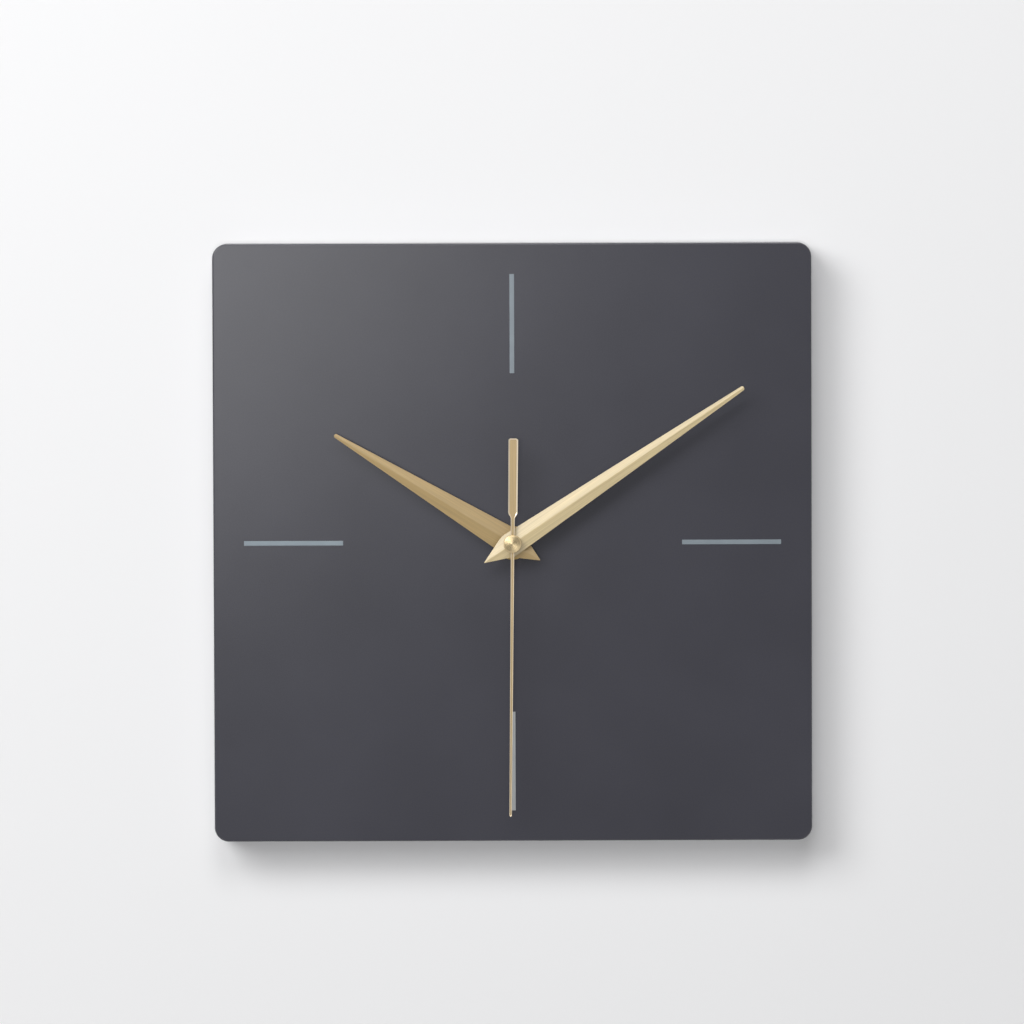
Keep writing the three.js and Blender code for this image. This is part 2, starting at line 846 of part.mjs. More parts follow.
place('movement_back_cover', backCover(), finishes.casePlastic);

// Train plate on its pillars, with pegs for the stator and posts for the circuit board
const trainPlateTop = rotor.z + statorBar / 2 - plateBelowStator;
const boardBottom = -roomBelow + boardToBay;
const boardHalfWidth = roomHalfWidth - boardToSide;
const postX = roomHalfWidth - boardPostInset;
const postSpots = [
  [-postX, boardBottom + boardPostRise],
  [postX, boardBottom + boardPostRise],
  [-postX, boardLegTop - boardPostToTop],
];
const pegSpots = [-1, 1].map((side) => [rotor.x + side * (statorSpan / 2 - statorLeg / 2), rotor.z]);

function middlePlate() {
  const plateHalf = roomHalfWidth - plateToSide;
  let plate = block(-plateHalf, plateHalf, -roomBelow + plateToBay, trainPlateTop, trainPlate);
  for (const [x, z] of postSpots) {
    const post = rod(boardPostRadius, { front: trainPlate.front, back: boardLayer.front });
    plate = plate.add(post.translate(x, 0, z));
  }
  for (const [x, z] of pegSpots) {
    const peg = rod(pegRadius, { front: trainPlate.front, back: statorLayer.back });
    plate = plate.add(peg.translate(x, 0, z));
  }
  const cut = through(trainPlate);
  for (const axis of [third, transfer, motion, hub]) {
    const radius = axis === hub ? secondsArborRadius : arborRadius;
    plate = plate.subtract(rod(radius + pivotClearance, cut).translate(axis.x, 0, axis.z));
  }
  const rotorHole = rod(2 * arborRadius, cut).translate(rotor.x, 0, rotor.z);
  const shaftHole = rod(settingShaftRadius + runningClearance, cut, tubeSides);
  return plate.subtract(rotorHole).subtract(shaftHole.translate(setting.x, 0, setting.z));
}

place('middle_plate', middlePlate(), finishes.gearPlastic);

// Step motor: stator, core, bobbin, winding and rotor
const statorHalf = statorSpan / 2;
const legInside = statorHalf - statorLeg;
const coreTop = coilZ + coreHeight / 2;

function statorPlate() {
  const barTop = rotor.z + statorBar / 2;
  const bar = block(-statorHalf, statorHalf, rotor.z - statorBar / 2, barTop, statorLayer);
  const leftLeg = block(-statorHalf, -legInside, rotor.z, coreTop, statorLayer);
  const rightLeg = block(legInside, statorHalf, rotor.z, coreTop, statorLayer);
  const cut = through(statorLayer);
  const opening = rod(magnetRadius + magnetAirGap, cut, tubeSides).translate(0, 0, rotor.z);
  let plate = bar.add(leftLeg).add(rightLeg).subtract(opening);
  for (const [x, z] of pegSpots) {
    plate = plate.subtract(rod(pegRadius + seatClearance, cut).translate(x - rotor.x, 0, z));
  }
  return plate;
}

const bobbinHalf = legInside - bobbinToLeg;
const bobbinBore = coreHeight / 2 + bobbinGap;
const coreMiddle = (coreLayer.front + coreLayer.back) / 2;

function around(depthHalf) {
  return { front: coreMiddle - depthHalf, back: coreMiddle + depthHalf };
}

const boreDepth = statorThickness / 2 + bobbinGap;
const barrelHeight = bobbinBore + bobbinWall;
const barrelDepth = boreDepth + bobbinWall;

function coilBobbin() {
  const flange = (left, right) => block(
    left,
    right,
    coilZ - bobbinFlangeHeight / 2,
    coilZ + bobbinFlangeHeight / 2,
    around(bobbinFlangeDepth / 2),
  );
  const barrel = block(
    -bobbinHalf,
    bobbinHalf,
    coilZ - barrelHeight,
    coilZ + barrelHeight,
    around(barrelDepth),
  );
  const cut = bobbinHalf + past;
  const bore = block(-cut, cut, coilZ - bobbinBore, coilZ + bobbinBore, around(boreDepth));
  return barrel
    .add(flange(-bobbinHalf, -bobbinHalf + bobbinFlangeThickness))
    .add(flange(bobbinHalf - bobbinFlangeThickness, bobbinHalf))
    .subtract(bore);
}

function coilWinding() {
  const inside = bobbinHalf - bobbinFlangeThickness - contactGap;
  const height = bobbinFlangeHeight / 2 - coilInset;
  const depth = bobbinFlangeDepth / 2 - coilInset;
  const wound = block(-inside, inside, coilZ - height, coilZ + height, around(depth));
  const hollow = block(
    -inside - past,
    inside + past,
    coilZ - barrelHeight - contactGap,
    coilZ + barrelHeight + contactGap,
    around(barrelDepth + contactGap),
  );
  return wound.subtract(hollow);
}

place('stator_plate', statorPlate(), finishes.steel, dial, rotor.x);
place(
  'coil_core',
  block(-statorHalf, statorHalf, coilZ - coreHeight / 2, coreTop, coreLayer),
  finishes.steel,
  dial,
  rotor.x,
);
place('coil_bobbin', coilBobbin(), finishes.gearPlastic, dial, rotor.x);
place('coil_winding', coilWinding(), finishes.copper, dial, rotor.x);

const arborFront = caseInside - pivotDepth + pivotEndGap;
const arborBack = trainPlate.back - pivotEndGap;
placeGear(
  'rotor_pinion',
  gear(rotorPinionTeeth, rotorModule, pinionTooth, transferLayer)
    .add(rod(arborRadius, { front: arborFront, back: rotorEnd })),
  finishes.pinionPlastic,
  rotor,
  rotorPhase,
);
place(
  'rotor_magnet',
  tube(magnetRadius, arborRadius + seatClearance, magnetSpan),
  finishes.magnet,
  dial,
  rotor.x,
  rotor.z,
);

// Train from the rotor to the seconds arbor, and on to the centre wheel
const arbor = () => rod(arborRadius, { front: arborFront, back: arborBack });
placeGear(
  'transfer_wheel',
  gear(transferWheelTeeth, rotorModule, wheelTooth, transferLayer)
    .add(gear(transferPinionTeeth, transferModule, pinionTooth, {
      front: secondsLayer.front,
      back: transferLayer.front,
    }))
    .add(arbor()),
  finishes.gearPlastic,
  transfer,
  transferPhase,
);
place(
  'seconds_wheel',
  gear(secondsWheelTeeth, transferModule, wheelTooth, secondsLayer)
    .add(gear(secondsPinionTeeth, thirdModule, pinionTooth, {
      front: thirdLayer.front,
      back: secondsLayer.front,
    }))
    .subtract(rod(
      secondsArborRadius + seatClearance,
      through({ front: thirdLayer.front, back: secondsLayer.back }),
      tubeSides,
    )),
  finishes.gearPlastic,
);
place(
  'seconds_arbor',
  rod(secondsArborRadius, { front: above(arborTop), back: arborBack }, tubeSides),
  finishes.steel,
);
placeGear(
  'third_wheel',
  gear(thirdWheelTeeth, thirdModule, wheelTooth, thirdLayer)
    .add(gear(thirdPinionTeeth, centreModule, pinionTooth, {
      front: centreLayer.front,
      back: thirdLayer.front,
    }))
    .add(arbor()),
  finishes.gearPlastic,
  third,
  thirdPhase,
);
placeGear(
  'centre_wheel',
  gear(centreWheelTeeth, centreModule, wheelTooth, centreLayer)
    .subtract(rod(collarRadius + runningClearance, through(centreLayer), tubeSides)),
  finishes.gearPlastic,
  hub,
  centrePhase,
);

// Motion work: cannon pinion, motion wheel and hour wheel
const clutchLayer = layer(centreLayer.back + clutchGap, clutchThickness);
place(
  'clutch_spring',
  tube(clutchDiameter / 2, collarRadius + seatClearance, clutchLayer),
  finishes.steel,
);
place(
  'cannon_pinion',
  gear(cannonPinionTeeth, cannonModule, pinionTooth, motionLayer)
    .add(rod(collarRadius, { front: motionLayer.front, back: clutchLayer.back }, tubeSides))
    .add(rod(cannonRadius, { front: above(cannonTop), back: motionLayer.back }, tubeSides))
    .subtract(rod(
      cannonBore,
      through({ front: above(cannonTop), back: clutchLayer.back }),
      tubeSides,
    )),
  finishes.steel,
);
placeGear(
  'motion_wheel',
  gear(motionWheelTeeth, cannonModule, wheelTooth, motionLayer)
    .add(gear(motionPinionTeeth, hourModule, pinionTooth, {
      front: hourLayer.front,
      back: motionLayer.front,
    }))
    .add(arbor()),
  finishes.gearPlastic,
  motion,
  motionPhase,
);
placeGear(
  'hour_wheel',
  gear(hourWheelTeeth, hourModule, wheelTooth, hourLayer)
    .add(rod(hourTubeRadius, { front: above(hourTubeTop), back: hourLayer.back }, tubeSides))
    .subtract(rod(
      hourBore,
      through({ front: above(hourTubeTop), back: hourLayer.back }),
      tubeSides,
    )),
  finishes.gearPlastic,
  hub,
  hourPhase,
);

// Setting shaft and knob
const settingEnd = knobSpan.front + knobSocketDepth - pivotEndGap;
placeGear(
  'setting_shaft',
  gear(settingPinionTeeth, cannonModule, pinionTooth, motionLayer)
    .add(rod(arborRadius, { front: arborFront, back: motionLayer.back }))
    .add(rod(settingShaftRadius, { front: motionLayer.front, back: settingEnd }, tubeSides)),
  finishes.gearPlastic,
  setting,
  settingPhase,
);

function settingKnob() {
  const module = 2 * knobRadius / knobRibs;
  const rib = { above: 0, below: knobRibDepth / module, tip: knobTip };
  const socket = rod(
    settingShaftRadius + seatClearance,
    { front: knobSpan.front - past, back: knobSpan.front + knobSocketDepth },
    tubeSides,
  );
  const dishSpan = { front: knobSpan.back - knobDishDepth, back: knobSpan.back + past };
  const dish = rod(knobRadius - knobRim, dishSpan, tubeSides);
  const gripHalf = knobRadius - gripToEdge;
  const gripSpan = { front: knobSpan.back - gripHeight, back: knobSpan.back };
  const grip = block(-gripHalf, gripHalf, -gripWidth / 2, gripWidth / 2, gripSpan);
  return gear(knobRibs, module, rib, knobSpan).subtract(socket).subtract(dish).add(grip);
}

place('setting_knob', settingKnob(), finishes.casePlastic, dial, setting.x, setting.z);

// Circuit board with its chip and crystal
function circuitBoard() {
  const left = -boardHalfWidth;
  const stripTop = boardBottom + boardStripHeight;
  const strip = block(left, boardHalfWidth, boardBottom, stripTop, boardLayer);
  return strip.add(block(left, left + boardLegWidth, boardBottom, boardLegTop, boardLayer));
}

const boardMiddle = -boardHalfWidth + boardLegWidth / 2;
place('circuit_board', circuitBoard(), finishes.board);
place(
  'clock_chip',
  turned([
    [0, boardLayer.front],
    [chipRadius, boardLayer.front],
    [chipCrownRadius, boardLayer.front - chipShoulder],
    [0, boardLayer.front - chipThickness],
  ]),
  finishes.chip,
  dial,
  boardMiddle,
  -chipBelowHub,
);
const crystalCan = new THREE.CylinderGeometry(crystalRadius, crystalRadius, crystalLength, pinSides);
crystalCan.rotateX(Math.PI / 2);
crystalCan.translate(0, boardLayer.front - crystalRadius, 0);
place('quartz_crystal', solid(crystalCan), finishes.steel, dial, boardMiddle, crystalAboveHub);

// Battery contacts: strips up the bay's end walls, a pad at one end and a sprung leaf at the other
const stripMiddle = roomHalfWidth - contactGap - contactThickness / 2;
const stripBottom = cellZ - contactBelowCell;
const stripTop = -roomBelow + contactAboveBay;
const tabSpan = { front: contactSpan.front, back: boardLayer.front };

function contactStrip() {
  const side = contactThickness / 2;
  const strip = block(-side, side, stripBottom, stripTop, contactSpan);
  return strip.add(block(-side, side, -roomBelow + boardToBay, stripTop, tabSpan));
}

function positiveContact() {
  const reach = stripMiddle - cellNubEnd - contactGap;
  const pad = new THREE.CylinderGeometry(contactPadRadius, contactPadRadius, reach, pinSides);
  pad.rotateZ(Math.PI / 2);
  pad.translate(-reach / 2, cellY, cellZ);
  return contactStrip().add(solid(pad));
}

function negativeContact() {
  const crest = cellFlatEnd + stripMiddle - contactGap - contactThickness / 2;
  const leaf = stripOutline([
    [0, stripBottom + contactThickness / 2],
    [crest, cellZ],
    [crest * leafTipShare, cellZ + leafTipRise],
  ], contactThickness);
  return contactStrip().add(slab(leaf, layer(cellY - leafWidth / 2, leafWidth)));
}

place('battery_contact_positive', positiveContact(), finishes.steel, dial, stripMiddle);
place('battery_contact_negative', negativeContact(), finishes.steel, dial, -stripMiddle);

function batteryCell() {
  const can = cellLength - cellNubLength;
  const radius = cellDiameter / 2;
  const profile = [
    [0, 0],
    [radius - cellRimChamfer, 0],
    [radius, cellRimChamfer],
    [radius, can - cellRimChamfer],
    [radius - cellRimChamfer, can],
    [cellNubDiameter / 2, can],
    [cellNubDiameter / 2, cellLength],
    [0, cellLength],
  ].map(([r, length]) => new THREE.Vector2(r, length));
  const geometry = new THREE.LatheGeometry(profile, tubeSides);
  geometry.rotateZ(-Math.PI / 2);
  geometry.translate(cellFlatEnd, cellY, cellZ);
  return solid(geometry);
}

place('battery_cell', batteryCell(), finishes.cellSleeve);

// Hands, drawn pointing at twelve and turned to the time by their groups
function handGroup(angle) {
  const group = new THREE.Group();
  group.rotation.y = angle * degree;
  dial.add(group);
  return group;
}

// A lance outline folded along its middle like a low roof.
function foldedHand({ length, tail, waist, halfWidth, tipRadius, bulge, ridge, hole }) {
  const shoulder = length - tipRadius;
  const control = (shoulder - waist) / 2;
  const middle = (halfWidth + tipRadius) / 2 + 2 * bulge;
  const outline = new THREE.Shape();
  outline.moveTo(0, -tail);
  outline.lineTo(halfWidth, -waist);
  outline.quadraticCurveTo(middle, control, tipRadius, shoulder);
  outline.absarc(0, shoulder, tipRadius, 0, Math.PI);
  outline.quadraticCurveTo(-middle, control, -halfWidth, -waist);
  const reach = halfWidth + past;
  const drop = foldSlope * reach;
  const fold = polygon([
    [0, above(ridge)],
    [reach, above(ridge - drop)],
    [reach, above(ridge - drop - sheetThickness)],
    [0, above(ridge - sheetThickness)],
    [-reach, above(ridge - drop - sheetThickness)],
    [-reach, above(ridge - drop)],
  ]);
  const depth = length + tail + 2 * past;
  const roof = new THREE.ExtrudeGeometry(fold, { depth, bevelEnabled: false });
  roof.translate(0, 0, -tail - past);
  const deep = through(rise(ridge - drop - sheetThickness, ridge));
  return slab(outline, deep, bladeSteps).intersect(solid(roof)).subtract(rod(hole, deep, tubeSides));
}

// A flanged bush: the flange lies under the hand and the neck stands in the hand's hole.
function handBush({ bore, neck, flange, bottom, ridge }) {
  const flangeTop = ridge - sheetThickness - foldSlope * flange - seatClearance;
  return turned([
    [bore, above(bottom)],
    [flange, above(bottom)],
    [flange, above(flangeTop)],
    [neck, above(flangeTop)],
    [neck, above(ridge)],
    [bore, above(ridge)],
    [bore, above(bottom)],
  ]);
}

const hourHand = handGroup(hourAngle);
const hourSeat = hourTubeRadius + runningClearance;
const hourNeck = hourSeat + hourBushWall;
place('hour_hand', foldedHand({
  length: half - hourTipToEdge,
  tail: hourTail,
  waist: hourWaist,
  halfWidth: hourHalfWidth,
  tipRadius: hourTipRadius,
  bulge: 0,
  ridge: hourRidge,
  hole: hourNeck + seatClearance,
}), finishes.brass, hourHand);
place('hour_hand_bush', handBush({
  bore: hourSeat,
  neck: hourNeck,
  flange: hourBushFlange,
  bottom: bushingTop + tubeStep,
  ridge: hourRidge,
}), finishes.brass, hourHand);

const minuteHand = handGroup(minuteAngle);
const minuteSeat = cannonRadius + seatClearance;
const minuteNeck = minuteSeat + minuteBushWall;
place('minute_hand', foldedHand({
  length: half - minuteTipToEdge,
  tail: minuteTail,
  waist: minuteWaist,
  halfWidth: minuteHalfWidth,
  tipRadius: minuteTipRadius,
  bulge: minuteBulge,
  ridge: minuteRidge,
  hole: minuteNeck + seatClearance,
}), finishes.brass, minuteHand);
place('minute_hand_bush', handBush({
  bore: minuteSeat,
  neck: minuteNeck,
  flange: minuteBushFlange,
  bottom: hourTubeTop + tubeStep,
  ridge: minuteRidge,
}), finishes.brass, minuteHand);

function secondHandBlade() {
  const tip = half - secondTipToEdge;
  const weightRoot = -secondTail + weightLength;
  const side = [
    [secondTipHalfWidth, tip - secondTipHalfWidth],
    [secondRootHalfWidth, secondHubTaper],
    [secondHubRadius, secondHubFlat],
    [secondHubRadius, -secondHubFlat],
    [stemHalfWidth, -secondHubTaper],
    [stemHalfWidth, weightRoot + weightShoulder],
    [weightRootHalfWidth, weightRoot],
    [weightHalfWidth, -secondTail + weightCorner],
    [weightCrownHalf, -secondTail],
  ];
  const otherSide = side.map(([x, z]) => [-x, z]).reverse();
  const blade = polygon([[0, tip], ...side, ...otherSide].reverse());
  const span = rise(secondBottom, secondTop);
  const hole = rod(secondNeckRadius + seatClearance, through(span), tubeSides);
  return easedSlab(blade, span, secondChamfer, 1).subtract(hole);
}

const secondHand = handGroup(secondAngle);
place('second_hand', secondHandBlade(), finishes.brass, secondHand);
place('second_hand_tube', turned([
  [secondsArborRadius + seatClearance, above(cannonTop + tubeStep)],
  [secondTubeRadius, above(cannonTop + tubeStep)],
  [secondTubeRadius, above(secondBottom)],
  [secondNeckRadius, above(secondBottom)],
  [secondNeckRadius, above(secondTop)],
  [secondsArborRadius + seatClearance, above(secondTop)],
  [secondsArborRadius + seatClearance, above(cannonTop + tubeStep)],
]), finishes.brass, secondHand);
const capBase = secondTop;
place('second_hand_cap', turned([
  [0, above(capBase + capHeight)],
  [capDiameter / 2 - capChamfer, above(capBase + capRimHeight + capChamfer)],
  [capDiameter / 2, above(capBase + capRimHeight)],
  [capDiameter / 2, above(capBase)],
  [secondNeckRadius + capWall, above(capBase)],
  [secondNeckRadius + capWall, above(capBase + capHollow)],
  [0, above(capBase + capHollow)],
], fineSides), finishes.brass, secondHand);

export default clock;
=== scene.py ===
import math

import bmesh
import bpy
from mathutils import Matrix, Vector


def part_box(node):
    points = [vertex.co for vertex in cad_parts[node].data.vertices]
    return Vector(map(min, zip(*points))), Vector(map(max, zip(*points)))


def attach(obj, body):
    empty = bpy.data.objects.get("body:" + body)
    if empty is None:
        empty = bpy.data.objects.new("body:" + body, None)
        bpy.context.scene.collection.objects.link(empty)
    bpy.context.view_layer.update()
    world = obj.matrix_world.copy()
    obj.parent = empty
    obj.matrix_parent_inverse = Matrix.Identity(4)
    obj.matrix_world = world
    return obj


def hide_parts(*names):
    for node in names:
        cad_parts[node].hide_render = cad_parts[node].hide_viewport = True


# A square wall clock: painted fibreboard, four printed hour marks, three gold-coloured
# hands and a quartz movement in a pocket behind. Pieces are modelled in millimetres, in
# the frame of the solids, and made metres at the end. X runs right, Z up, Y into the wall.
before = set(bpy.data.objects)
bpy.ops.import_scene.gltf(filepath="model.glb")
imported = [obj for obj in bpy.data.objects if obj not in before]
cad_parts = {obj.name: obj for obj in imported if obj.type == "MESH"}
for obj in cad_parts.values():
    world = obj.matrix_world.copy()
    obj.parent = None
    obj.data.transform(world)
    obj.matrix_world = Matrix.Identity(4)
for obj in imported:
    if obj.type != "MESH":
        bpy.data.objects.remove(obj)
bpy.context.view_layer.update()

MM = 0.001

# Board
board_corner = 6
board_corner_steps = 14
board_edge = 0.7
board_edge_steps = 5
board_web = 4
pocket_side_gap = 9
pocket_end_gap = 3
pocket_corner = 4
hub_hole_radius = 4.15

# Hanger: the nail's axis is at the origin
plate_corner = 3
plate_gap = 0.2
key_slot_radius = 2.3
key_entry_radius = 5
key_entry_drop = 10
nail_pocket_half = 7
nail_pocket_top = 4.3
nail_pocket_corner = 2
nail_pocket_depth = 8
screw_radius = 1.5
screw_head_radius = 3
screw_gap = 0.1

# Hands, drawn pointing at twelve: lengths from the axis, angles clockwise
hour_angle = 301.5
minute_angle = 56.1
second_angle = 180.6
fold_slope = 0.2126
fold_softness = 0.35
fold_cuts = (-1, -0.5, 0, 0.5, 1)
sheet_thickness = 0.5
hour_hand = dict(length=87, tail=13.7, waist=1, half_width=6, tip=0.85, bulge=0, hole=3.05)
minute_hand = dict(
    length=116.3, tail=14.5, waist=2.3, half_width=5, tip=0.95, bulge=0.1, hole=2.15,
)
blade_edge = 0.36
blade_edge_steps = 3
tail_round = 0.5
waist_round = 1.5
tip_round_share = 0.95
second_length = 114
second_tip_half = 0.5
second_root_half = 0.7
second_tail = 44
stem_half = 0.8
stem_chamfer = 0.32
weight_length = 31.4
weight_half = 2
weight_root_half = 1.95
weight_shoulder = 1.5
shoulder_reach = 1
shoulder_round = 0.7
weight_corner = 0.55
weight_crown_half = 1.3
weight_crown = 1.5
weight_chamfer = 0.55
second_chamfer_depth = 0.26
eye_radius = 2.1
eye_flat = 1.3
eye_taper = 3.2
second_hole = 0.91
cap_rim_height = 0.55
cap_rise = 0.08
cap_rim = 0.4
cap_rim_drop = 0.3
cap_edge = 0.08
cap_seat = 0.2
cap_bore = 1.25
cap_hollow = 0.4

# A hand's eased edge, in a lighter gold that is a painted highlight: the faces whose normals have
# their Y between these
edge_facing = (-0.94, -0.1)

# Bushes that carry the hands, and the second hand's tube
hour_bush = dict(bore=2.6, neck=2.95)
minute_bush = dict(bore=1.66, neck=2.06)
bush_gap = 0.06
bush_edge = 0.08
tube_bore = 0.56
tube_radius = 1.1
tube_neck = 0.85

# Marks, pads and the hanger's small features; a mark's tone is a screen colour. The marks are one
# ink, and their four tones differ only as painted light: sheen, shade and reflection set into each
# mark's colour.
mark_painted_light_tones = {12: (132, 141, 148), 3: (125, 135, 142), 6: (156, 159, 161), 9: (137, 148, 156)}
mark_corner = 0.15
mark_rim = 0.09
pad_rim = 0.3
plate_rim = 0.15
thread_pitch = 1.1
screw_root = 1.05
cross_length = 3.4
cross_width = 0.9
cross_depth = 0.8

# Fixing through the dial
bushing_bore = 2.6
bushing_radius = 4
bushing_root = 3.75
bushing_pitch = 0.75
bushing_flange = 0.6
washer_edge = 0.12
nut_gap = 0.1
nut_ribs = 72
nut_rib_depth = 0.14
nut_chamfer = 0.35
seal_edge = 0.2

# Movement shell
shell_edge = 0.18
cover_edge = 0.15
hook_heights = (-76, -102)
hook_half = 3
hook_proud = 0.7
hook_length = 5
hook_drop = 0.2
hook_edge = 0.25
engraving = 0.4
sign_arm = 2
sign_half_stroke = 0.5
sign_inset = 5
sign_rise = 3.2
arrow_radius = 8.4
arrow_width = 0.8
arrow_head = 2.08
arrow_spans = ((130, 60), (230, 300))
panel_right = 3
panel_gap = 3
panel_foot = 8
panel_corner = 1.5
knob_ribs = 28
knob_points_per_rib = 4
knob_rib_depth = 0.35
knob_rib_reach = 0.165
knob_edge = 0.15
knob_rim = 1.6
knob_dish_depth = 0.4
knob_grip_width = 1.2
knob_grip_height = 0.5
knob_grip_half = 3.8
knob_socket_radius = 1.25
knob_socket_depth = 1.6
contact_edge = 0.06
wire_pitch = 0.13

# Cell, size AA, as points of radius and distance: the flat end from its own face, the
# shoulder from the can's end, the nub from the cell's end
cell_flat_end = [(0, 0.25), (4.4, 0.25), (4.9, 0.05), (5.6, 0), (6.4, 0.15), (6.85, 0.5)]
cell_shoulder = [
    (6.9, -1.1), (6.75, -0.5), (6.3, -0.1), (5.6, 0),
    (5.0, -0.15), (4.6, -0.7), (3.1, -0.75), (2.75, -0.5),
]
cell_nub = [(2.7, -0.35), (2.4, 0), (0, 0)]
cell_nub_rise = 1.2
cell_flat_round = 0.9
cell_shoulder_round = 1.6
cell_bare_radius = 6.2
band_from = 37
pinstripe_at = 35.4
plus_at = 43
minus_at = 6
print_arm = 1.6
print_stroke = 0.35

# How far a cutting mesh runs past the faces that it cuts
past = 1

# Distances below which points are one, for new meshes and for the solids' own
same_point = 0.0005
same_solid_point = 0.002
no_length = 0.0001

# Stage, in metres, and how far inside the board's edge the wall's hole lies, in millimetres
wall_half = 1.6
hole_inside_edge = 3

# Camera: its lens in millimetres, its places in metres and its angles in degrees
camera_lens = 303.0
camera_distance = 3.6
camera_near = 0.05
camera_rise = 2.8
camera_roll = 0.19
camera_aim_right = -0.0002
camera_aim_above_hub = 0.0128

# Lamps: how far left of and above the line out from the hub they stand, as slopes, their
# distance and radius in metres, and the share of full white that each gives a white wall
key_lamp = dict(left=0.74, up=0.6, distance=2.3, radius=0.73, share=0.385)
window_lamp = dict(left=0.168, up=0.104, distance=2.2, radius=0.35, share=0.095)
ceiling_lamp = dict(left=0.0, up=0.826, distance=2.4, radius=0.52, share=0.16)
front_lamp = dict(left=0.0, up=0.02, distance=4.5, radius=0.22, share=0.28)
table_card = dict(left=-0.25, up=-0.42, distance=2.5, radius=0.4, share=0.02)
rear_lamp = dict(beside=0.9, behind=1.6, above=0.6, radius=0.6, watts=13)

# How bright the room is: as a fill, before and behind the wall, and as polished surfaces
# see it, before the clock and to its sides
fill_front = 0.03
fill_rear = 0.4
room_front = 0.12
room_sides = 1.0

# Between which directions into the wall, as unit vectors' Y, the room and the fill change
room_front_to_sides = (-0.95, -0.55)
fill_front_to_rear = (0.0, 0.2)


class Box:
    """A solid's own box at rest, in millimetres."""

    def __init__(self, node):
        low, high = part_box(node)
        self.left, self.front, self.bottom = (value / MM for value in low)
        self.right, self.back, self.top = (value / MM for value in high)

    @property
    def middle(self):
        return Vector((
            (self.left + self.right) / 2,
            (self.front + self.back) / 2,
            (self.bottom + self.top) / 2,
        ))

    def grown(self, side, end=None):
        """This box, larger by side to the left and right and by end above and below."""
        end = side if end is None else end
        self.left, self.right = self.left - side, self.right + side
        self.bottom, self.top = self.bottom - end, self.top + end
        return self

    def deep(self, front, back):
        self.front, self.back = front, back
        return self


hub = Box("second_hand_cap").middle
dial_face = Box("clock_body").front


# Meshes

def clean(bm):
    """Merges a mesh's doubles and turns its faces outward."""
    bmesh.ops.remove_doubles(bm, verts=bm.verts, dist=same_point)
    bmesh.ops.dissolve_degenerate(bm, edges=bm.edges, dist=no_length)
    bmesh.ops.recalc_face_normals(bm, faces=bm.faces)
    return bm


def moved(bm, offset):
    bmesh.ops.translate(bm, vec=offset, verts=bm.verts)
    return bm


def turned(bm, degrees, axis):
    """Turns a mesh about an axis through the origin."""
    matrix = Matrix.Rotation(math.radians(degrees), 3, axis)
    bmesh.ops.rotate(bm, cent=(0, 0, 0), matrix=matrix, verts=bm.verts)
    return bm


def bevelled(bm, edges, width, steps):
    bmesh.ops.bevel(
        bm, geom=list(edges), offset=width, offset_type="OFFSET", affect="EDGES",
        segments=steps, profile=0.5, material=-1, clamp_overlap=True,
    )
    return bm


def block(left, right, bottom, top, front, back):
    bm = bmesh.new()
    bmesh.ops.create_cube(bm, size=1)
    bmesh.ops.scale(bm, vec=(right - left, back - front, top - bottom), verts=bm.verts)
    return moved(bm, ((left + right) / 2, (front + back) / 2, (bottom + top) / 2))


def upright_edges(bm):
    """The edges that run straight into the wall."""
    nearly_straight = 0.999
    return [
        edge for edge in bm.edges
        if abs((edge.verts[0].co - edge.verts[1].co).normalized().y) > nearly_straight
    ]


def rounded_block(box, corner, steps):
    bm = block(box.left, box.right, box.bottom, box.top, box.front, box.back)
    return bevelled(bm, upright_edges(bm), corner, steps)


def sharp_edges(bm, sharper_than, keep):
    """Edges whose faces meet at more than an angle in degrees, all or those that keep() takes."""
    bm.normal_update()
    limit = math.radians(sharper_than)
    return [
        edge for edge in bm.edges
        if len(edge.link_faces) == 2
        and edge.calc_face_angle(0) > limit
        and (keep is None or keep(edge))
    ]


def softened(bm, width, steps=2, sharper_than=35, keep=None):
    return bevelled(bm, sharp_edges(bm, sharper_than, keep), width, steps)


def at_depth(depth, reach=0.01):
    """Takes edges that lie at one depth."""
    return lambda edge: all(abs(vert.co.y - depth) < reach for vert in edge.verts)


def spun(profile, steps=48, closed=False):
    """A run of (radius, depth) points turned about the Y axis; a closed one makes a ring."""
    bm = bmesh.new()
    points = [bm.verts.new((radius, depth, 0)) for radius, depth in profile]
    ends = points[1:] + points[:1] if closed else points[1:]
    edges = [bm.edges.new(pair) for pair in zip(points, ends)]
    bmesh.ops.spin(
        bm, geom=points + edges, cent=(0, 0, 0), axis=(0, 1, 0), dvec=(0, 0, 0),
        angle=math.tau, steps=steps, use_merge=True, use_duplicate=False,
    )
    return clean(bm)


def rod(radius, front, back, steps=48):
    return spun([(0, front), (radius, front), (radius, back), (0, back)], steps)


def ring(bore, radius, front, back, steps=48):
    return spun([(bore, front), (radius, front), (radius, back), (bore, back)], steps, closed=True)


def scratch_object(bm, slot_index):
    for face in bm.faces:
        face.material_index = slot_index
    mesh = bpy.data.meshes.new("scratch")
    for _ in range(2):
        mesh.materials.append(None)
    bm.to_mesh(mesh)
    bm.free()
    obj = bpy.data.objects.new("scratch", mesh)
    bpy.context.scene.collection.objects.link(obj)
    return obj


def joined(bm, tools, operation):
    """bm cut by or added to each tool. Faces made by a tool take the second material."""
    body = scratch_object(bm, 0)
    helpers = [scratch_object(tool, 1) for tool in tools]
    for helper in helpers:
        step = body.modifiers.new("cut", "BOOLEAN")
        step.operation = operation
        step.solver = "EXACT"
        step.material_mode = "INDEX"
        step.object = helper
    shape = body.evaluated_get(bpy.context.evaluated_depsgraph_get())
    mesh = bpy.data.meshes.new_from_object(shape)
    result = bmesh.new()
    result.from_mesh(mesh)
    for obj in [body, *helpers]:
        bpy.data.meshes.remove(obj.data)
    bpy.data.meshes.remove(mesh)
    return result


def cut(bm, *tools):
    return joined(bm, tools, "DIFFERENCE")


def added(bm, *tools):
    return joined(bm, tools, "UNION")


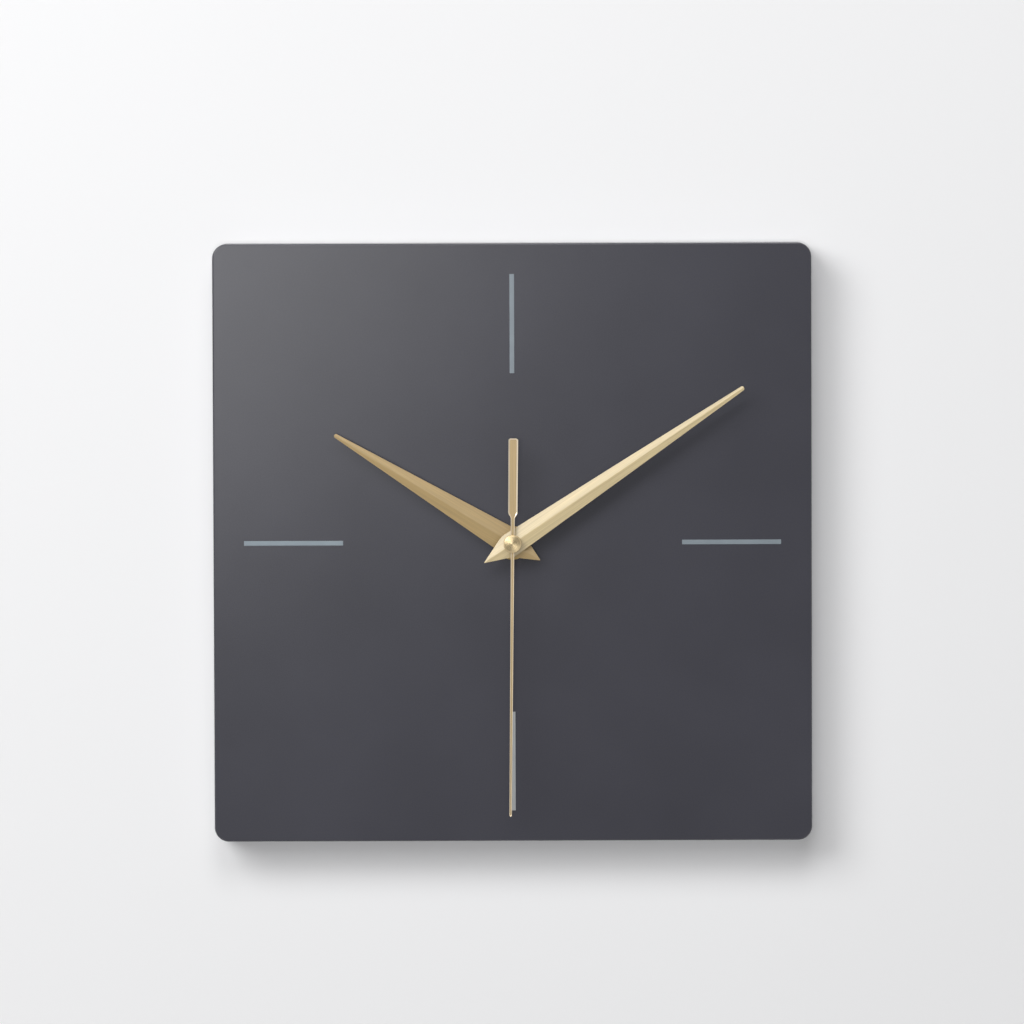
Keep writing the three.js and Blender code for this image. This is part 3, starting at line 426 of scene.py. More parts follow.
def one_material(bm):
    for face in bm.faces:
        face.material_index = 0
    return bm


def piece(name, bm, finishes, body, nodes, smooth=40):
    """A finished mesh in metres, riding on a body in place of some solids."""
    clean(bm)
    bmesh.ops.scale(bm, vec=(MM, MM, MM), verts=bm.verts)
    mesh = bpy.data.meshes.new(name)
    bm.to_mesh(mesh)
    bm.free()
    for finish in finishes:
        mesh.materials.append(finish)
    mesh.shade_smooth()
    mesh.set_sharp_from_angle(angle=math.radians(smooth))
    obj = bpy.data.objects.new(name, mesh)
    bpy.context.scene.collection.objects.link(obj)
    shading = obj.modifiers.new("even_shading", "WEIGHTED_NORMAL")
    shading.keep_sharp = True
    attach(obj, body)
    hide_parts(*nodes)
    return obj


def copy_of(node):
    """A solid's mesh, joined up, with its flat faces whole again, in millimetres."""
    flat_within = math.radians(0.5)
    bm = bmesh.new()
    bm.from_mesh(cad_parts[node].data)
    bmesh.ops.scale(bm, vec=(1 / MM, 1 / MM, 1 / MM), verts=bm.verts)
    bmesh.ops.remove_doubles(bm, verts=bm.verts, dist=same_solid_point)
    bmesh.ops.dissolve_limit(
        bm, angle_limit=flat_within, use_dissolve_boundaries=False, verts=bm.verts, edges=bm.edges,
    )
    return one_material(clean(bm))


# Materials. Patterns are in object coordinates; grain sizes are in millimetres.

def screen(red, green, blue):
    """A colour as a screen shows it, 0 to 255, made linear."""
    def linear(value):
        share = value / 255
        return share / 12.92 if share <= 0.04045 else ((share + 0.055) / 1.055) ** 2.4
    return (linear(red), linear(green), linear(blue), 1)


def start(name, **sockets):
    """A new material and its shader, with the shader's own sockets set."""
    material = bpy.data.materials.new(name)
    material.use_nodes = True
    shader = material.node_tree.nodes["Principled BSDF"]
    for socket, value in sockets.items():
        shader.inputs[socket.replace("_", " ")].default_value = value
    return material, shader


def feed(owner, entry, source):
    """Sets a socket to a plain value, or links it to another node's output."""
    if isinstance(source, bpy.types.NodeSocket):
        owner.node_tree.links.new(source, entry)
    else:
        entry.default_value = source


def add(owner, kind, links=None, **settings):
    """A node of a material or world, with what its inputs are fed and its settings."""
    node = owner.node_tree.nodes.new(kind)
    for setting, value in settings.items():
        setattr(node, setting, value)
    for socket, source in (links or {}).items():
        feed(owner, node.inputs[socket], source)
    return node


def place(material, size=(1, 1, 1), turn=0, centre=(0, 0, 0)):
    """Object coordinates in grains of a size in millimetres, turned about Y, from a centre."""
    source = add(material, "ShaderNodeTexCoord").outputs["Object"]
    mapping = add(material, "ShaderNodeMapping", {
        "Vector": source,
        "Location": [value * MM for value in centre],
        "Rotation": (0, math.radians(turn), 0),
        "Scale": [value * MM for value in size],
    }, vector_type="TEXTURE")
    return mapping.outputs["Vector"]


def noise(material, size, detail=2, roughness=0.5, turn=0):
    sizes = size if isinstance(size, tuple) else (size, size, size)
    texture = add(material, "ShaderNodeTexNoise", {
        "Vector": place(material, sizes, turn),
        "Scale": 1.0,
        "Detail": detail,
        "Roughness": roughness,
    })
    return texture.outputs["Fac"]


def spread(owner, value, low, high, start_at=0.3, end_at=0.7):
    """A stretch of a value, a noise's middle range unless given, spread from low to high."""
    return add(owner, "ShaderNodeMapRange", {
        "Value": value,
        "From Min": start_at,
        "From Max": end_at,
        "To Min": low,
        "To Max": high,
    }).outputs["Result"]


def blend_colours(material, share, first, second):
    """Two colours mixed by a share. Entries go by identifier, as their names repeat."""
    mix = add(material, "ShaderNodeMix", data_type="RGBA")
    entries = {entry.identifier: entry for entry in mix.inputs}
    feed(material, entries["Factor_Float"], share)
    feed(material, entries["A_Color"], first)
    feed(material, entries["B_Color"], second)
    return next(out for out in mix.outputs if out.identifier == "Result_Color")


def math_node(owner, operation, first, second=0.0):
    return add(owner, "ShaderNodeMath", {0: first, 1: second}, operation=operation).outputs[0]


def vector_node(material, operation, *sources):
    links = dict(enumerate(sources))
    return add(material, "ShaderNodeVectorMath", links, operation=operation).outputs


def relief(material, height, depth, under=None):
    """A bump of a depth in millimetres, over another bump if one is given."""
    links = {"Height": height, "Distance": depth * MM, "Strength": 1.0}
    if under is not None:
        links["Normal"] = under
    return add(material, "ShaderNodeBump", links).outputs["Normal"]


def finish_with(material, shader, colour, roughness, normal):
    feed(material, shader.inputs["Base Color"], colour)
    feed(material, shader.inputs["Roughness"], roughness)
    feed(material, shader.inputs["Normal"], normal)
    return material


def toned(colour, change):
    """A colour made lighter or darker."""
    return tuple(channel * change for channel in colour[:3]) + (1,)


def two_tone(material, pattern, colour, change):
    """A colour and the same colour made lighter or darker, mixed by a noise's middle range."""
    return blend_colours(material, spread(material, pattern, 0, 1), colour, toned(colour, change))


def charcoal_paint():
    """Sprayed satin charcoal: soft orange peel and a fine grain."""
    base = screen(61, 61, 68)
    material, shader = start("charcoal_paint", Specular_IOR_Level=0.52)
    cloud = noise(material, size=55, detail=3)
    grain = noise(material, size=0.5, roughness=0.6)
    peel = noise(material, size=1.3)
    half_cloud = math_node(material, "MULTIPLY", cloud, 0.5)
    half_grain = math_node(material, "MULTIPLY", grain, 0.5)
    mottle = math_node(material, "ADD", half_cloud, half_grain)
    colour = two_tone(material, mottle, base, change=1.3)
    rough = spread(material, grain, low=0.17, high=0.22)
    soft = relief(material, peel, depth=0.014)
    normal = relief(material, grain, depth=0.007, under=soft)
    return finish_with(material, shader, colour, rough, normal)


def raw_fibreboard():
    """Routed fibreboard, with the spray's dust over it."""
    material, shader = start("raw_fibreboard", Specular_IOR_Level=0.25)
    fibres = noise(material, size=(1.4, 1.4, 0.25), detail=6, roughness=0.65)
    layers = noise(material, size=(9, 0.7, 9), detail=3)
    dust = noise(material, size=14, detail=5, roughness=0.6)
    matting = spread(material, fibres, 0, 1)
    wood = blend_colours(material, matting, screen(126, 98, 70), screen(158, 128, 95))
    edge = two_tone(material, layers, screen(140, 112, 80), change=0.8)
    bare = blend_colours(material, 0.35, wood, edge)
    dusted = spread(material, dust, low=0.25, high=0.8)
    colour = blend_colours(material, dusted, bare, screen(60, 58, 62))
    rough = spread(material, fibres, low=0.75, high=0.9)
    return finish_with(material, shader, colour, rough, relief(material, fibres, depth=0.05))


def mark_print_painted_light(hour):
    """A thick screen print: matt, with the faint weave of its screen. Each mark's own tone is
    painted light over one ink.
    """
    # The base is this mark's tone: one ink made lighter or darker as painted light.
    base = screen(*mark_painted_light_tones[hour])
    material, shader = start(f"mark_print_painted_light_{hour}", Specular_IOR_Level=0.5)
    cloud = noise(material, size=6, detail=3)
    weave = noise(material, size=0.18, detail=1)
    colour = two_tone(material, cloud, base, change=1.1)
    rough = spread(material, weave, low=0.38, high=0.5)
    return finish_with(material, shader, colour, rough, relief(material, weave, depth=0.004))


def in_world(material, direction):
    return add(material, "ShaderNodeVectorTransform", {"Vector": direction},
               vector_type="VECTOR", convert_from="OBJECT", convert_to="WORLD").outputs["Vector"]


def across(material, angle):
    """The direction across a hand that points at an angle, for its brushing."""
    turn = math.radians(angle)
    direction = add(material, "ShaderNodeCombineXYZ", {
        "X": math.cos(turn),
        "Z": -math.sin(turn),
    }).outputs["Vector"]
    return in_world(material, direction)


def sideways(material, centre):
    """The offset from an axis along Y, in millimetres."""
    return vector_node(material, "MULTIPLY", place(material, centre=centre), (1, 0, 1))["Vector"]


def outwards(material, centre):
    """The direction away from an axis along Y, and the distance from it in millimetres."""
    offset = sideways(material, centre)
    distance = vector_node(material, "LENGTH", offset)["Value"]
    direction = vector_node(material, "NORMALIZE", offset)["Vector"]
    return in_world(material, direction), distance


def brushed_gold(name, angle, base, rough):
    """Gold-anodised aluminium, brushed along the hand, under the anodising's clear skin."""
    material, shader = start(
        name, Metallic=1.0, Anisotropic=0.66, Coat_Weight=1.0, Coat_IOR=2.15, Coat_Roughness=0.34,
    )
    lines = noise(material, size=(0.09, 0.4, 14), detail=3, roughness=0.6, turn=angle)
    broad = noise(material, size=(0.45, 0.45, 30), detail=3, roughness=0.6, turn=angle)
    colour = two_tone(material, broad, base, change=0.82)
    feed(material, shader.inputs["Tangent"], across(material, angle))
    return finish_with(material, shader, colour, spread(material, broad, *rough),
                       relief(material, lines, depth=0.006))


def painted_highlight_gold(name, angle):
    """A hand's eased edge: a smoother gold, made lighter as a painted highlight."""
    return brushed_gold(name, angle, screen(240, 223, 190), rough=(0.3, 0.42))


def turned_metal(name, centre, base, groove=0.004):
    """Metal faced on a lathe: fine rings about its axis."""
    material, shader = start(name, Metallic=1.0, Anisotropic=0.75)
    direction, distance = outwards(material, centre)
    rings_per_mm = 9
    rings = add(material, "ShaderNodeTexNoise", {
        "W": math_node(material, "MULTIPLY", distance, rings_per_mm),
        "Scale": 1.0,
        "Detail": 2.0,
    }, noise_dimensions="1D").outputs["Fac"]
    colour = two_tone(material, noise(material, size=5), base, change=0.92)
    rough = spread(material, rings, low=0.26, high=0.4)
    feed(material, shader.inputs["Tangent"], direction)
    return finish_with(material, shader, colour, rough, relief(material, rings, groove))


def moulded(name, base, texture=0.25, height=0.012, rough=(0.42, 0.55)):
    """Moulded plastic with a spark-eroded skin."""
    material, shader = start(name, Specular_IOR_Level=0.5)
    skin = noise(material, texture, roughness=0.6)
    flow = noise(material, size=12, detail=3)
    colour = two_tone(material, flow, base, change=1.15)
    return finish_with(material, shader, colour, spread(material, skin, *rough),
                       relief(material, skin, height))


def acetal(name, base):
    """Smooth moulded acetal, a little translucent."""
    material, shader = start(
        name, Specular_IOR_Level=0.5, Subsurface_Weight=0.15, Subsurface_Scale=0.002,
    )
    flow = noise(material, size=4, detail=3)
    skin = noise(material, size=0.6)
    colour = two_tone(material, flow, base, change=0.94)
    rough = spread(material, skin, low=0.3, high=0.42)
    return finish_with(material, shader, colour, rough, relief(material, skin, depth=0.004))


def rolled_steel(name, base, grain=(0.12, 0.12, 9)):
    """Plated sheet steel with the rolling lines under the plating."""
    material, shader = start(name, Metallic=1.0, Anisotropic=0.3)
    lines = noise(material, grain, detail=3, roughness=0.6)
    bloom = noise(material, size=3.5, detail=4, roughness=0.6)
    colour = two_tone(material, bloom, base, change=0.84)
    rough = spread(material, bloom, low=0.28, high=0.42)
    return finish_with(material, shader, colour, rough, relief(material, lines, depth=0.003))


def rubber():
    """Black rubber with a dull bloom."""
    material, shader = start("black_rubber", Specular_IOR_Level=0.35)
    skin = noise(material, size=0.35, detail=3, roughness=0.6)
    bloom = noise(material, size=5, detail=3)
    colour = two_tone(material, bloom, screen(34, 34, 36), change=1.5)
    rough = spread(material, skin, low=0.62, high=0.8)
    return finish_with(material, shader, colour, rough, relief(material, skin, depth=0.02))


def pressed_felt():
    """Pressed felt: matted fibres with a soft nap."""
    material, shader = start(
        "pressed_felt", Specular_IOR_Level=0.15, Sheen_Weight=0.4, Sheen_Roughness=0.5,
    )
    fibres = noise(material, size=0.22, detail=8, roughness=0.75)
    clumps = noise(material, size=1.6, detail=3)
    nap = math_node(material, "MULTIPLY", fibres, math_node(material, "ADD", clumps, 0.5))
    colour = two_tone(material, nap, screen(40, 40, 42), change=1.9)
    rough = spread(material, fibres, low=0.85, high=1.0)
    return finish_with(material, shader, colour, rough, relief(material, nap, depth=0.12))


def copper_winding():
    """Enamelled wire wound across the bobbin, turn beside turn."""
    material, shader = start("copper_winding", Metallic=1.0, Coat_Weight=0.4, Coat_Roughness=0.15)
    turns = add(material, "ShaderNodeSeparateXYZ", {
        "Vector": place(material, size=(wire_pitch, 1, 1)),
    }).outputs["X"]
    half_waves = math_node(material, "MULTIPLY", turns, math.pi)
    wire = math_node(material, "ABSOLUTE", math_node(material, "SINE", half_waves))
    heat = noise(material, size=(0.5, 2, 2), detail=3)
    enamel = spread(material, heat, 0, 1)
    colour = blend_colours(material, enamel, screen(186, 104, 62), screen(214, 132, 84))
    rough = spread(material, heat, low=0.25, high=0.38)
    return finish_with(material, shader, colour, rough, relief(material, wire, depth=0.05))


def green_laminate():
    """A circuit board: solder resist over copper tracks."""
    material, shader = start(
        "green_laminate", Specular_IOR_Level=0.5, Coat_Weight=0.3, Coat_Roughness=0.2,
    )
    cells = add(material, "ShaderNodeTexVoronoi", {
        "Vector": place(material, size=(1.6, 1.6, 1.6)),
        "Scale": 1.0,
        "Randomness": 0.55,
    }, feature="F1", distance="CHEBYCHEV").outputs["Distance"]
    tracks = spread(material, cells, 0, 1, start_at=0.28, end_at=0.34)
    colour = blend_colours(material, tracks, screen(38, 98, 62), screen(52, 122, 78))
    rough = spread(material, noise(material, size=0.3), low=0.3, high=0.45)
    return finish_with(material, shader, colour, rough, relief(material, tracks, depth=0.02))


def resin_drop():
    """The black resin over a bare chip."""
    material, shader = start("resin_drop", Specular_IOR_Level=0.5, Coat_Weight=0.3)
    dust = noise(material, size=0.4, detail=3)
    swell = noise(material, size=2.2)
    colour = two_tone(material, dust, screen(22, 22, 25), change=1.7)
    rough = spread(material, dust, low=0.18, high=0.3)
    return finish_with(material, shader, colour, rough, relief(material, swell, depth=0.03))


def ferrite():
    """The rotor's sintered magnet."""
    material, shader = start("ferrite", Metallic=0.4, Specular_IOR_Level=0.5)
    crystals = noise(material, size=0.15, detail=4, roughness=0.7)
    colour = two_tone(material, crystals, screen(58, 58, 62), change=1.5)
    rough = spread(material, crystals, low=0.35, high=0.6)
    return finish_with(material, shader, colour, rough, relief(material, crystals, depth=0.02))


# Pieces

def on_axis(bm):
    """Moves a mesh turned about the origin onto the hands' axis."""
    return moved(bm, (hub.x, 0, hub.z))


def make_board(paint, raw):
    """The board, with the pockets and holes for the movement and the hanger cut in it."""
    body = Box("clock_body")
    plate = Box("keyhole_plate")
    bm = rounded_block(body, board_corner, board_corner_steps)
    for depth in (body.front, body.back):
        softened(bm, board_edge, board_edge_steps, sharper_than=60, keep=at_depth(depth))
    open_back = body.back + past
    pocket_box = Box("movement_case").grown(pocket_side_gap, pocket_end_gap)
    pocket_box.deep(body.front + board_web, open_back)
    plate_seat = Box("keyhole_plate").grown(plate_gap).deep(plate.front, open_back)
    nail_pocket = block(
        -nail_pocket_half, nail_pocket_half,
        -key_entry_drop - nail_pocket_half, nail_pocket_top,
        plate.front - nail_pocket_depth, open_back,
    )
    bevelled(nail_pocket, upright_edges(nail_pocket), nail_pocket_corner, steps=6)
    tools = [
        rounded_block(pocket_box, pocket_corner, steps=8),
        on_axis(rod(hub_hole_radius, body.front - past, body.front + board_web + past)),
        rounded_block(plate_seat, plate_corner, steps=6),
        nail_pocket,
    ]
    for side in ("left", "right"):
        screw = Box(f"hanger_screw_{side}")
        pilot = rod(screw_radius + screw_gap, screw.front - screw_gap, open_back, steps=24)
        tools.append(moved(pilot, (screw.middle.x, 0, screw.middle.z)))
    bm = cut(bm, *tools)
    piece("board", bm, [paint, raw], "case", ["clock_body"])


def make_marks():
    for hour in mark_painted_light_tones:
        box = Box(f"hour_mark_{hour}")
        bm = rounded_block(box, mark_corner, steps=3)
        softened(bm, mark_rim, steps=3, sharper_than=60, keep=at_depth(box.front))
        piece(f"mark_{hour}", bm, [mark_print_painted_light(hour)], "case", [f"hour_mark_{hour}"])


def make_pads(felt):
    for spot in ("top_left", "top_right", "bottom_left", "bottom_right"):
        box = Box(f"wall_pad_{spot}")
        radius = (box.right - box.left) / 2
        bm = moved(rod(radius, box.front, box.back, steps=64), (box.middle.x, 0, box.middle.z))
        softened(bm, pad_rim, steps=3, sharper_than=60, keep=at_depth(box.back))
        pad = piece(f"felt_{spot}", bm, [felt], "case", [f"wall_pad_{spot}"])


def make_hanger(zinc, steel):
    """The keyhole plate, countersunk for its two screws."""
    plate = Box("keyhole_plate")
    front = plate.front - past
    back = plate.back + past
    tools = [
        moved(rod(key_entry_radius, front, back), (0, 0, -key_entry_drop)),
        rod(key_slot_radius, front, back),
        block(-key_slot_radius, key_slot_radius, -key_entry_drop, 0, front, back),
    ]
    for side in ("left", "right"):
        screw = Box(f"hanger_screw_{side}")
        sink = spun([
            (0, front),
            (screw_radius + screw_gap, front),
            (screw_radius + screw_gap, plate.front),
            (screw_head_radius + screw_gap, plate.back),
            (screw_head_radius + screw_gap, back),
            (0, back),
        ])
        tools.append(moved(sink, (screw.middle.x, 0, screw.middle.z)))
    bm = one_material(cut(rounded_block(plate, plate_corner, steps=8), *tools))
    softened(bm, plate_rim, steps=2, sharper_than=60, keep=at_depth(plate.back))
    piece("hanger_plate", bm, [zinc], "case", ["keyhole_plate"])
    for side in ("left", "right"):
        make_screw(side, steel, plate.front)


def make_screw(side, steel, plate_front):
    """A countersunk wood screw with a cross recess."""
    box = Box(f"hanger_screw_{side}")
    profile = [(0, box.back), (screw_head_radius, box.back), (screw_radius, plate_front)]
    depth = plate_front - thread_pitch
    while depth - thread_pitch > box.front + thread_pitch:
        profile += [(screw_root, depth), (screw_radius, depth - thread_pitch / 2)]
        depth -= thread_pitch
    profile += [(screw_root, depth), (0, box.front)]
    bm = spun(profile)
    recess = box.back - cross_depth
    long, wide = cross_length / 2, cross_width / 2
    bm = one_material(cut(
        bm,
        block(-long, long, -wide, wide, recess, box.back + past),
        block(-wide, wide, -long, long, recess, box.back + past),
    ))
    moved(bm, (box.middle.x, 0, box.middle.z))
    piece(f"screw_{side}", bm, [steel], "case", [f"hanger_screw_{side}"])


def make_fixing(brass, black_rubber):
    """The fixing through the dial, from the movement to the nut."""
    make_bushing(brass)

    washer = Box("dial_washer")
    bm = ring(hub_hole_radius, washer.right, washer.front, washer.back, steps=96)
    softened(bm, washer_edge, steps=2, sharper_than=60, keep=at_depth(washer.front))
    piece("washer", on_axis(bm), [brass], "case", ["dial_washer"])

    make_nut(brass)

    seal = Box("rubber_washer")
    bm = ring(hub_hole_radius, seal.right, seal.front, seal.back, steps=64)
    softened(bm, seal_edge, steps=3, sharper_than=60)
    piece("seal", on_axis(bm), [black_rubber], "case", ["rubber_washer"])


def make_bushing(brass):
    """The threaded bushing, flanged behind the dial."""
    bushing = Box("threaded_bushing")
    flange_radius = (bushing.right - bushing.left) / 2
    profile = [
        (bushing_bore, bushing.back),
        (flange_radius, bushing.back),
        (flange_radius, bushing.back - bushing_flange),
        (bushing_radius, bushing.back - bushing_flange),
    ]
    depth = dial_face + board_web - bushing_pitch
    while depth - bushing_pitch > bushing.front:
        profile += [(bushing_radius, depth), (bushing_root, depth - bushing_pitch / 2)]
        depth -= bushing_pitch
    profile += [(bushing_root, bushing.front), (bushing_bore, bushing.front)]
    piece("bushing", on_axis(spun(profile, steps=64, closed=True)), [brass], "case",
          ["threaded_bushing"], smooth=30)


def make_nut(brass):
    """The round nut, ribbed round its rim."""
    nut = Box("fixing_nut")
    bm = ring(bushing_radius + nut_gap, nut.right, nut.front, nut.back, steps=2 * nut_ribs)
    softened(bm, nut_chamfer, steps=3, sharper_than=60)
    at_rim = 0.01
    for vert in bm.verts:
        spoke = Vector((vert.co.x, 0, vert.co.z))
        rib = round(math.atan2(spoke.z, spoke.x) * nut_ribs / math.pi)
        if spoke.length > nut.right - at_rim and rib % 2:
            vert.co -= spoke.normalized() * nut_rib_depth
    piece("nut", on_axis(bm), [brass], "case", ["fixing_nut"], smooth=30)


def folded_hand(ridge, length, tail, waist, half_width, tip, bulge, hole):
    """A lance folded along its middle like a low roof, with eased edges, pointing at twelve."""
    bm = bmesh.new()
    shoulder = length - tip
    middle = (shoulder - waist) / 2
    middle_width = (half_width + tip) / 2 + bulge
    side = [
        (0, -tail),
        (half_width, -waist),
        (middle_width, middle),
        (tip, shoulder),
        (tip, length),
    ]
    other_side = [(-x, z) for x, z in reversed(side[1:])]
    verts = [bm.verts.new((x, 0, z)) for x, z in side + other_side]
    bm.faces.new(verts)
    corners = [
        ([verts[0]], tail_round, 6),
        ([verts[1], verts[-1]], waist_round, 6),
        ([verts[4], verts[5]], tip * tip_round_share, 8),
    ]
    for points, width, steps in corners:
        bmesh.ops.bevel(
            bm, geom=points, offset=width, offset_type="OFFSET", affect="VERTICES",
            segments=steps, profile=0.5, material=-1, clamp_overlap=True,
        )
    for offset in fold_cuts:
        bmesh.ops.bisect_plane(
            bm, geom=bm.verts[:] + bm.edges[:] + bm.faces[:], dist=no_length,
            plane_co=(offset * fold_softness, 0, 0), plane_no=(1, 0, 0),
        )
    for vert in bm.verts:
        reach = math.hypot(vert.co.x, fold_softness) - fold_softness
        vert.co.y = dial_face - ridge + fold_slope * reach
    sheet = bmesh.ops.extrude_face_region(bm, geom=bm.faces[:])["geom"]
    bmesh.ops.translate(
        bm, vec=(0, sheet_thickness, 0),
        verts=[part for part in sheet if isinstance(part, bmesh.types.BMVert)],
    )
    clean(bm)
    half_turned = 0.5
    rim = [
        edge for edge in bm.edges
        if len(edge.link_faces) == 2
        and any(face.normal.y < -half_turned for face in edge.link_faces)
        and any(abs(face.normal.y) < half_turned for face in edge.link_faces)
    ]
    bevelled(bm, rim, blade_edge, blade_edge_steps)
    return painted_highlight_edges(one_material(cut(bm, rod(hole, dial_face - ridge - past, dial_face))))


def painted_highlight_edges(bm):
    """Gives the faces that lean between a hand's face and its sides the second material, the
    painted highlight.
    """
    bm.normal_update()
    flat_face, bare_side = edge_facing
    for face in bm.faces:
        if flat_face < face.normal.y < bare_side:
            face.material_index = 1
    return bm


def onto_dial(bm, angle):
    """Turns a hand drawn at twelve to its hour and moves it onto the hands' axis."""
    return on_axis(turned(bm, angle, "Y"))


def ridge_height(bush):
    """A folded hand's ridge is level with its bush's top."""
    return dial_face - Box(bush).front


def make_hands(cap_gold, brass):
    hour = folded_hand(ridge_height("hour_hand_bush"), **hour_hand)
    minute = folded_hand(ridge_height("minute_hand_bush"), **minute_hand)
    # The hands are one gold. The minute hand's paler colour is painted light, standing in for how
    # brightly it catches the light; its rougher finish is real.
    deeper_gold = dict(base=screen(200, 170, 108), rough=(0.54, 0.64))
    minute_painted_light_gold = dict(base=screen(208, 189, 141), rough=(0.62, 0.72))
    make_blade("hour", "hours", hour_angle, hour, deeper_gold)
    make_blade("minute", "minutes", minute_angle, minute, minute_painted_light_gold)
    make_blade("second", "seconds", second_angle, second_blade(), deeper_gold, smooth=20)
    make_cap(cap_gold)
    make_bush("hour", "hours", brass, **hour_bush)
    make_bush("minute", "minutes", brass, **minute_bush)
    make_collet(brass)


def make_blade(name, body, angle, bm, gold, smooth=40):
    face = brushed_gold(f"{name}_gold", angle, **gold)
    # The edge material's lighter gold is a painted highlight along the hand's edges.
    edge = painted_highlight_gold(f"{name}_edge_painted_highlight_gold", angle)
    piece(f"{name}_blade", onto_dial(bm, angle), [face, edge], body, [f"{name}_hand"],
          smooth)


def make_bush(name, body, brass, bore, neck):
    """A flanged bush: the flange under the hand, the neck in its hole."""
    node = f"{name}_hand_bush"
    box = Box(node)
    flange = (box.right - box.left) / 2
    flange_front = box.front + sheet_thickness + fold_slope * flange + bush_gap
    bm = spun([
        (bore, box.back), (flange, box.back), (flange, flange_front),
        (neck, flange_front), (neck, box.front), (bore, box.front),
    ], steps=48, closed=True)
    softened(bm, bush_edge, steps=2, sharper_than=60)
    piece(f"{name}_bush", on_axis(bm), [brass], body, [node], smooth=30)


def make_collet(brass):
    """The second hand's tube, with a collar under its blade."""
    tube = Box("second_hand_tube")
    blade_back = Box("second_hand").back
    bm = spun([
        (tube_bore, tube.back), (tube_radius, tube.back), (tube_radius, blade_back),
        (tube_neck, blade_back), (tube_neck, tube.front), (tube_bore, tube.front),
    ], steps=40, closed=True)
    piece("second_collet", on_axis(bm), [brass], "seconds", ["second_hand_tube"],
          smooth=30)


def second_blade():
    """The second hand: a chamfered stem, an eye for the tube and a bar counterweight."""
    box = Box("second_hand")
    bm = bmesh.new()
    weight_root = -second_tail + weight_length
    side = [
        (second_tip_half, second_length - second_tip_half),
        (second_root_half, eye_taper),
        (eye_radius, eye_flat),
        (eye_radius, -eye_flat),
        (stem_half, -eye_taper),
        (stem_half, weight_root + weight_shoulder),
        (weight_root_half, weight_root),
        (weight_half, -second_tail + weight_corner),
        (weight_crown_half, -second_tail),
    ]
    outline = [(0, second_length)] + side + [(-x, z) for x, z in reversed(side)]
    bm.faces.new([bm.verts.new((x, box.back, z)) for x, z in outline])
    low, high = weight_root - shoulder_reach, weight_root + weight_shoulder + shoulder_reach
    shoulders = [vert for vert in bm.verts if low < vert.co.z < high]
    bmesh.ops.bevel(
        bm, geom=shoulders, offset=shoulder_round, offset_type="OFFSET", affect="VERTICES",
        segments=4, profile=0.5, material=-1, clamp_overlap=True,
    )
    raised = bmesh.ops.extrude_face_region(bm, geom=bm.faces[:])["geom"]
    top = next(part for part in raised if isinstance(part, bmesh.types.BMFace))
    outer = list(top.verts)
    bmesh.ops.translate(bm, vec=(0, box.front - box.back, 0), verts=outer)
    bmesh.ops.inset_region(bm, faces=[top], thickness=stem_chamfer, use_even_offset=True)
    for vert in outer:
        vert.co.y += second_chamfer_depth
    extra = weight_chamfer - stem_chamfer
    for vert in top.verts:
        if vert.co.z < weight_root + weight_shoulder / 2:
            vert.co.x -= math.copysign(extra, vert.co.x)
        if vert.co.z < -second_tail + weight_crown:
            vert.co.z += extra
    bm = clean(bm)
    return painted_highlight_edges(one_material(cut(bm, rod(second_hole, box.front - past, box.back + past))))


def make_cap(gold):
    """The round cap over the second hand's tube."""
    box = Box("second_hand_cap")
    radius = (box.right - box.left) / 2
    bm = spun([
        (0, box.front),
        (radius - cap_rim, box.front + cap_rise),
        (radius - cap_rim / 4, box.front + cap_rim_drop),
        (radius, box.back - cap_rim_height),
        (radius, box.back),
        (cap_bore, box.back),
        (cap_bore, box.back - cap_hollow),
        (0, box.back - cap_hollow),
    ], steps=128)
    seat = box.back - cap_seat
    softened(bm, cap_edge, steps=3, sharper_than=15, keep=lambda edge: edge.verts[0].co.y < seat)
    piece("cap", on_axis(bm), [gold], "seconds", ["second_hand_cap"], smooth=30)


def stroke(x, z, half_across, half_up, front, back):
    """One stroke of a pole's sign, as a cutting mesh."""
    return block(x - half_across, x + half_across, z - half_up, z + half_up, front, back)


def arrow_round(centre, start_at, end_at, front, back):
    """A curved arrow, its angles in degrees from X towards Z, as cutting meshes."""
    inner, outer = arrow_radius - arrow_width / 2, arrow_radius + arrow_width / 2
    begin = math.radians(start_at)
    sweep = math.radians(end_at - start_at)
    bm = bmesh.new()
    corners = [(inner, front), (outer, front), (outer, back), (inner, back)]
    face = bm.faces.new([
        bm.verts.new((reach * math.cos(begin), depth, reach * math.sin(begin)))
        for reach, depth in corners
    ])
    bmesh.ops.spin(
        bm, geom=[face] + face.edges[:] + face.verts[:], cent=(0, 0, 0), axis=(0, -1, 0),
        dvec=(0, 0, 0), angle=sweep, steps=16, use_merge=False, use_duplicate=False,
    )
    shaft = moved(clean(bm), (centre.x, 0, centre.z))
    forward = math.copysign(1, sweep)
    head = bmesh.new()
    points = [(inner - arrow_width, 0), (outer + arrow_width, 0), (arrow_radius, arrow_head)]
    outline = head.faces.new([head.verts.new((x, front, forward * z)) for x, z in points])
    raised = bmesh.ops.extrude_face_region(head, geom=[outline])["geom"]
    bmesh.ops.translate(
        head, vec=(0, back - front, 0),
        verts=[part for part in raised if isinstance(part, bmesh.types.BMVert)],
    )
    turned(head, -end_at, "Y")
    return [shaft, moved(clean(head), (centre.x, 0, centre.z))]


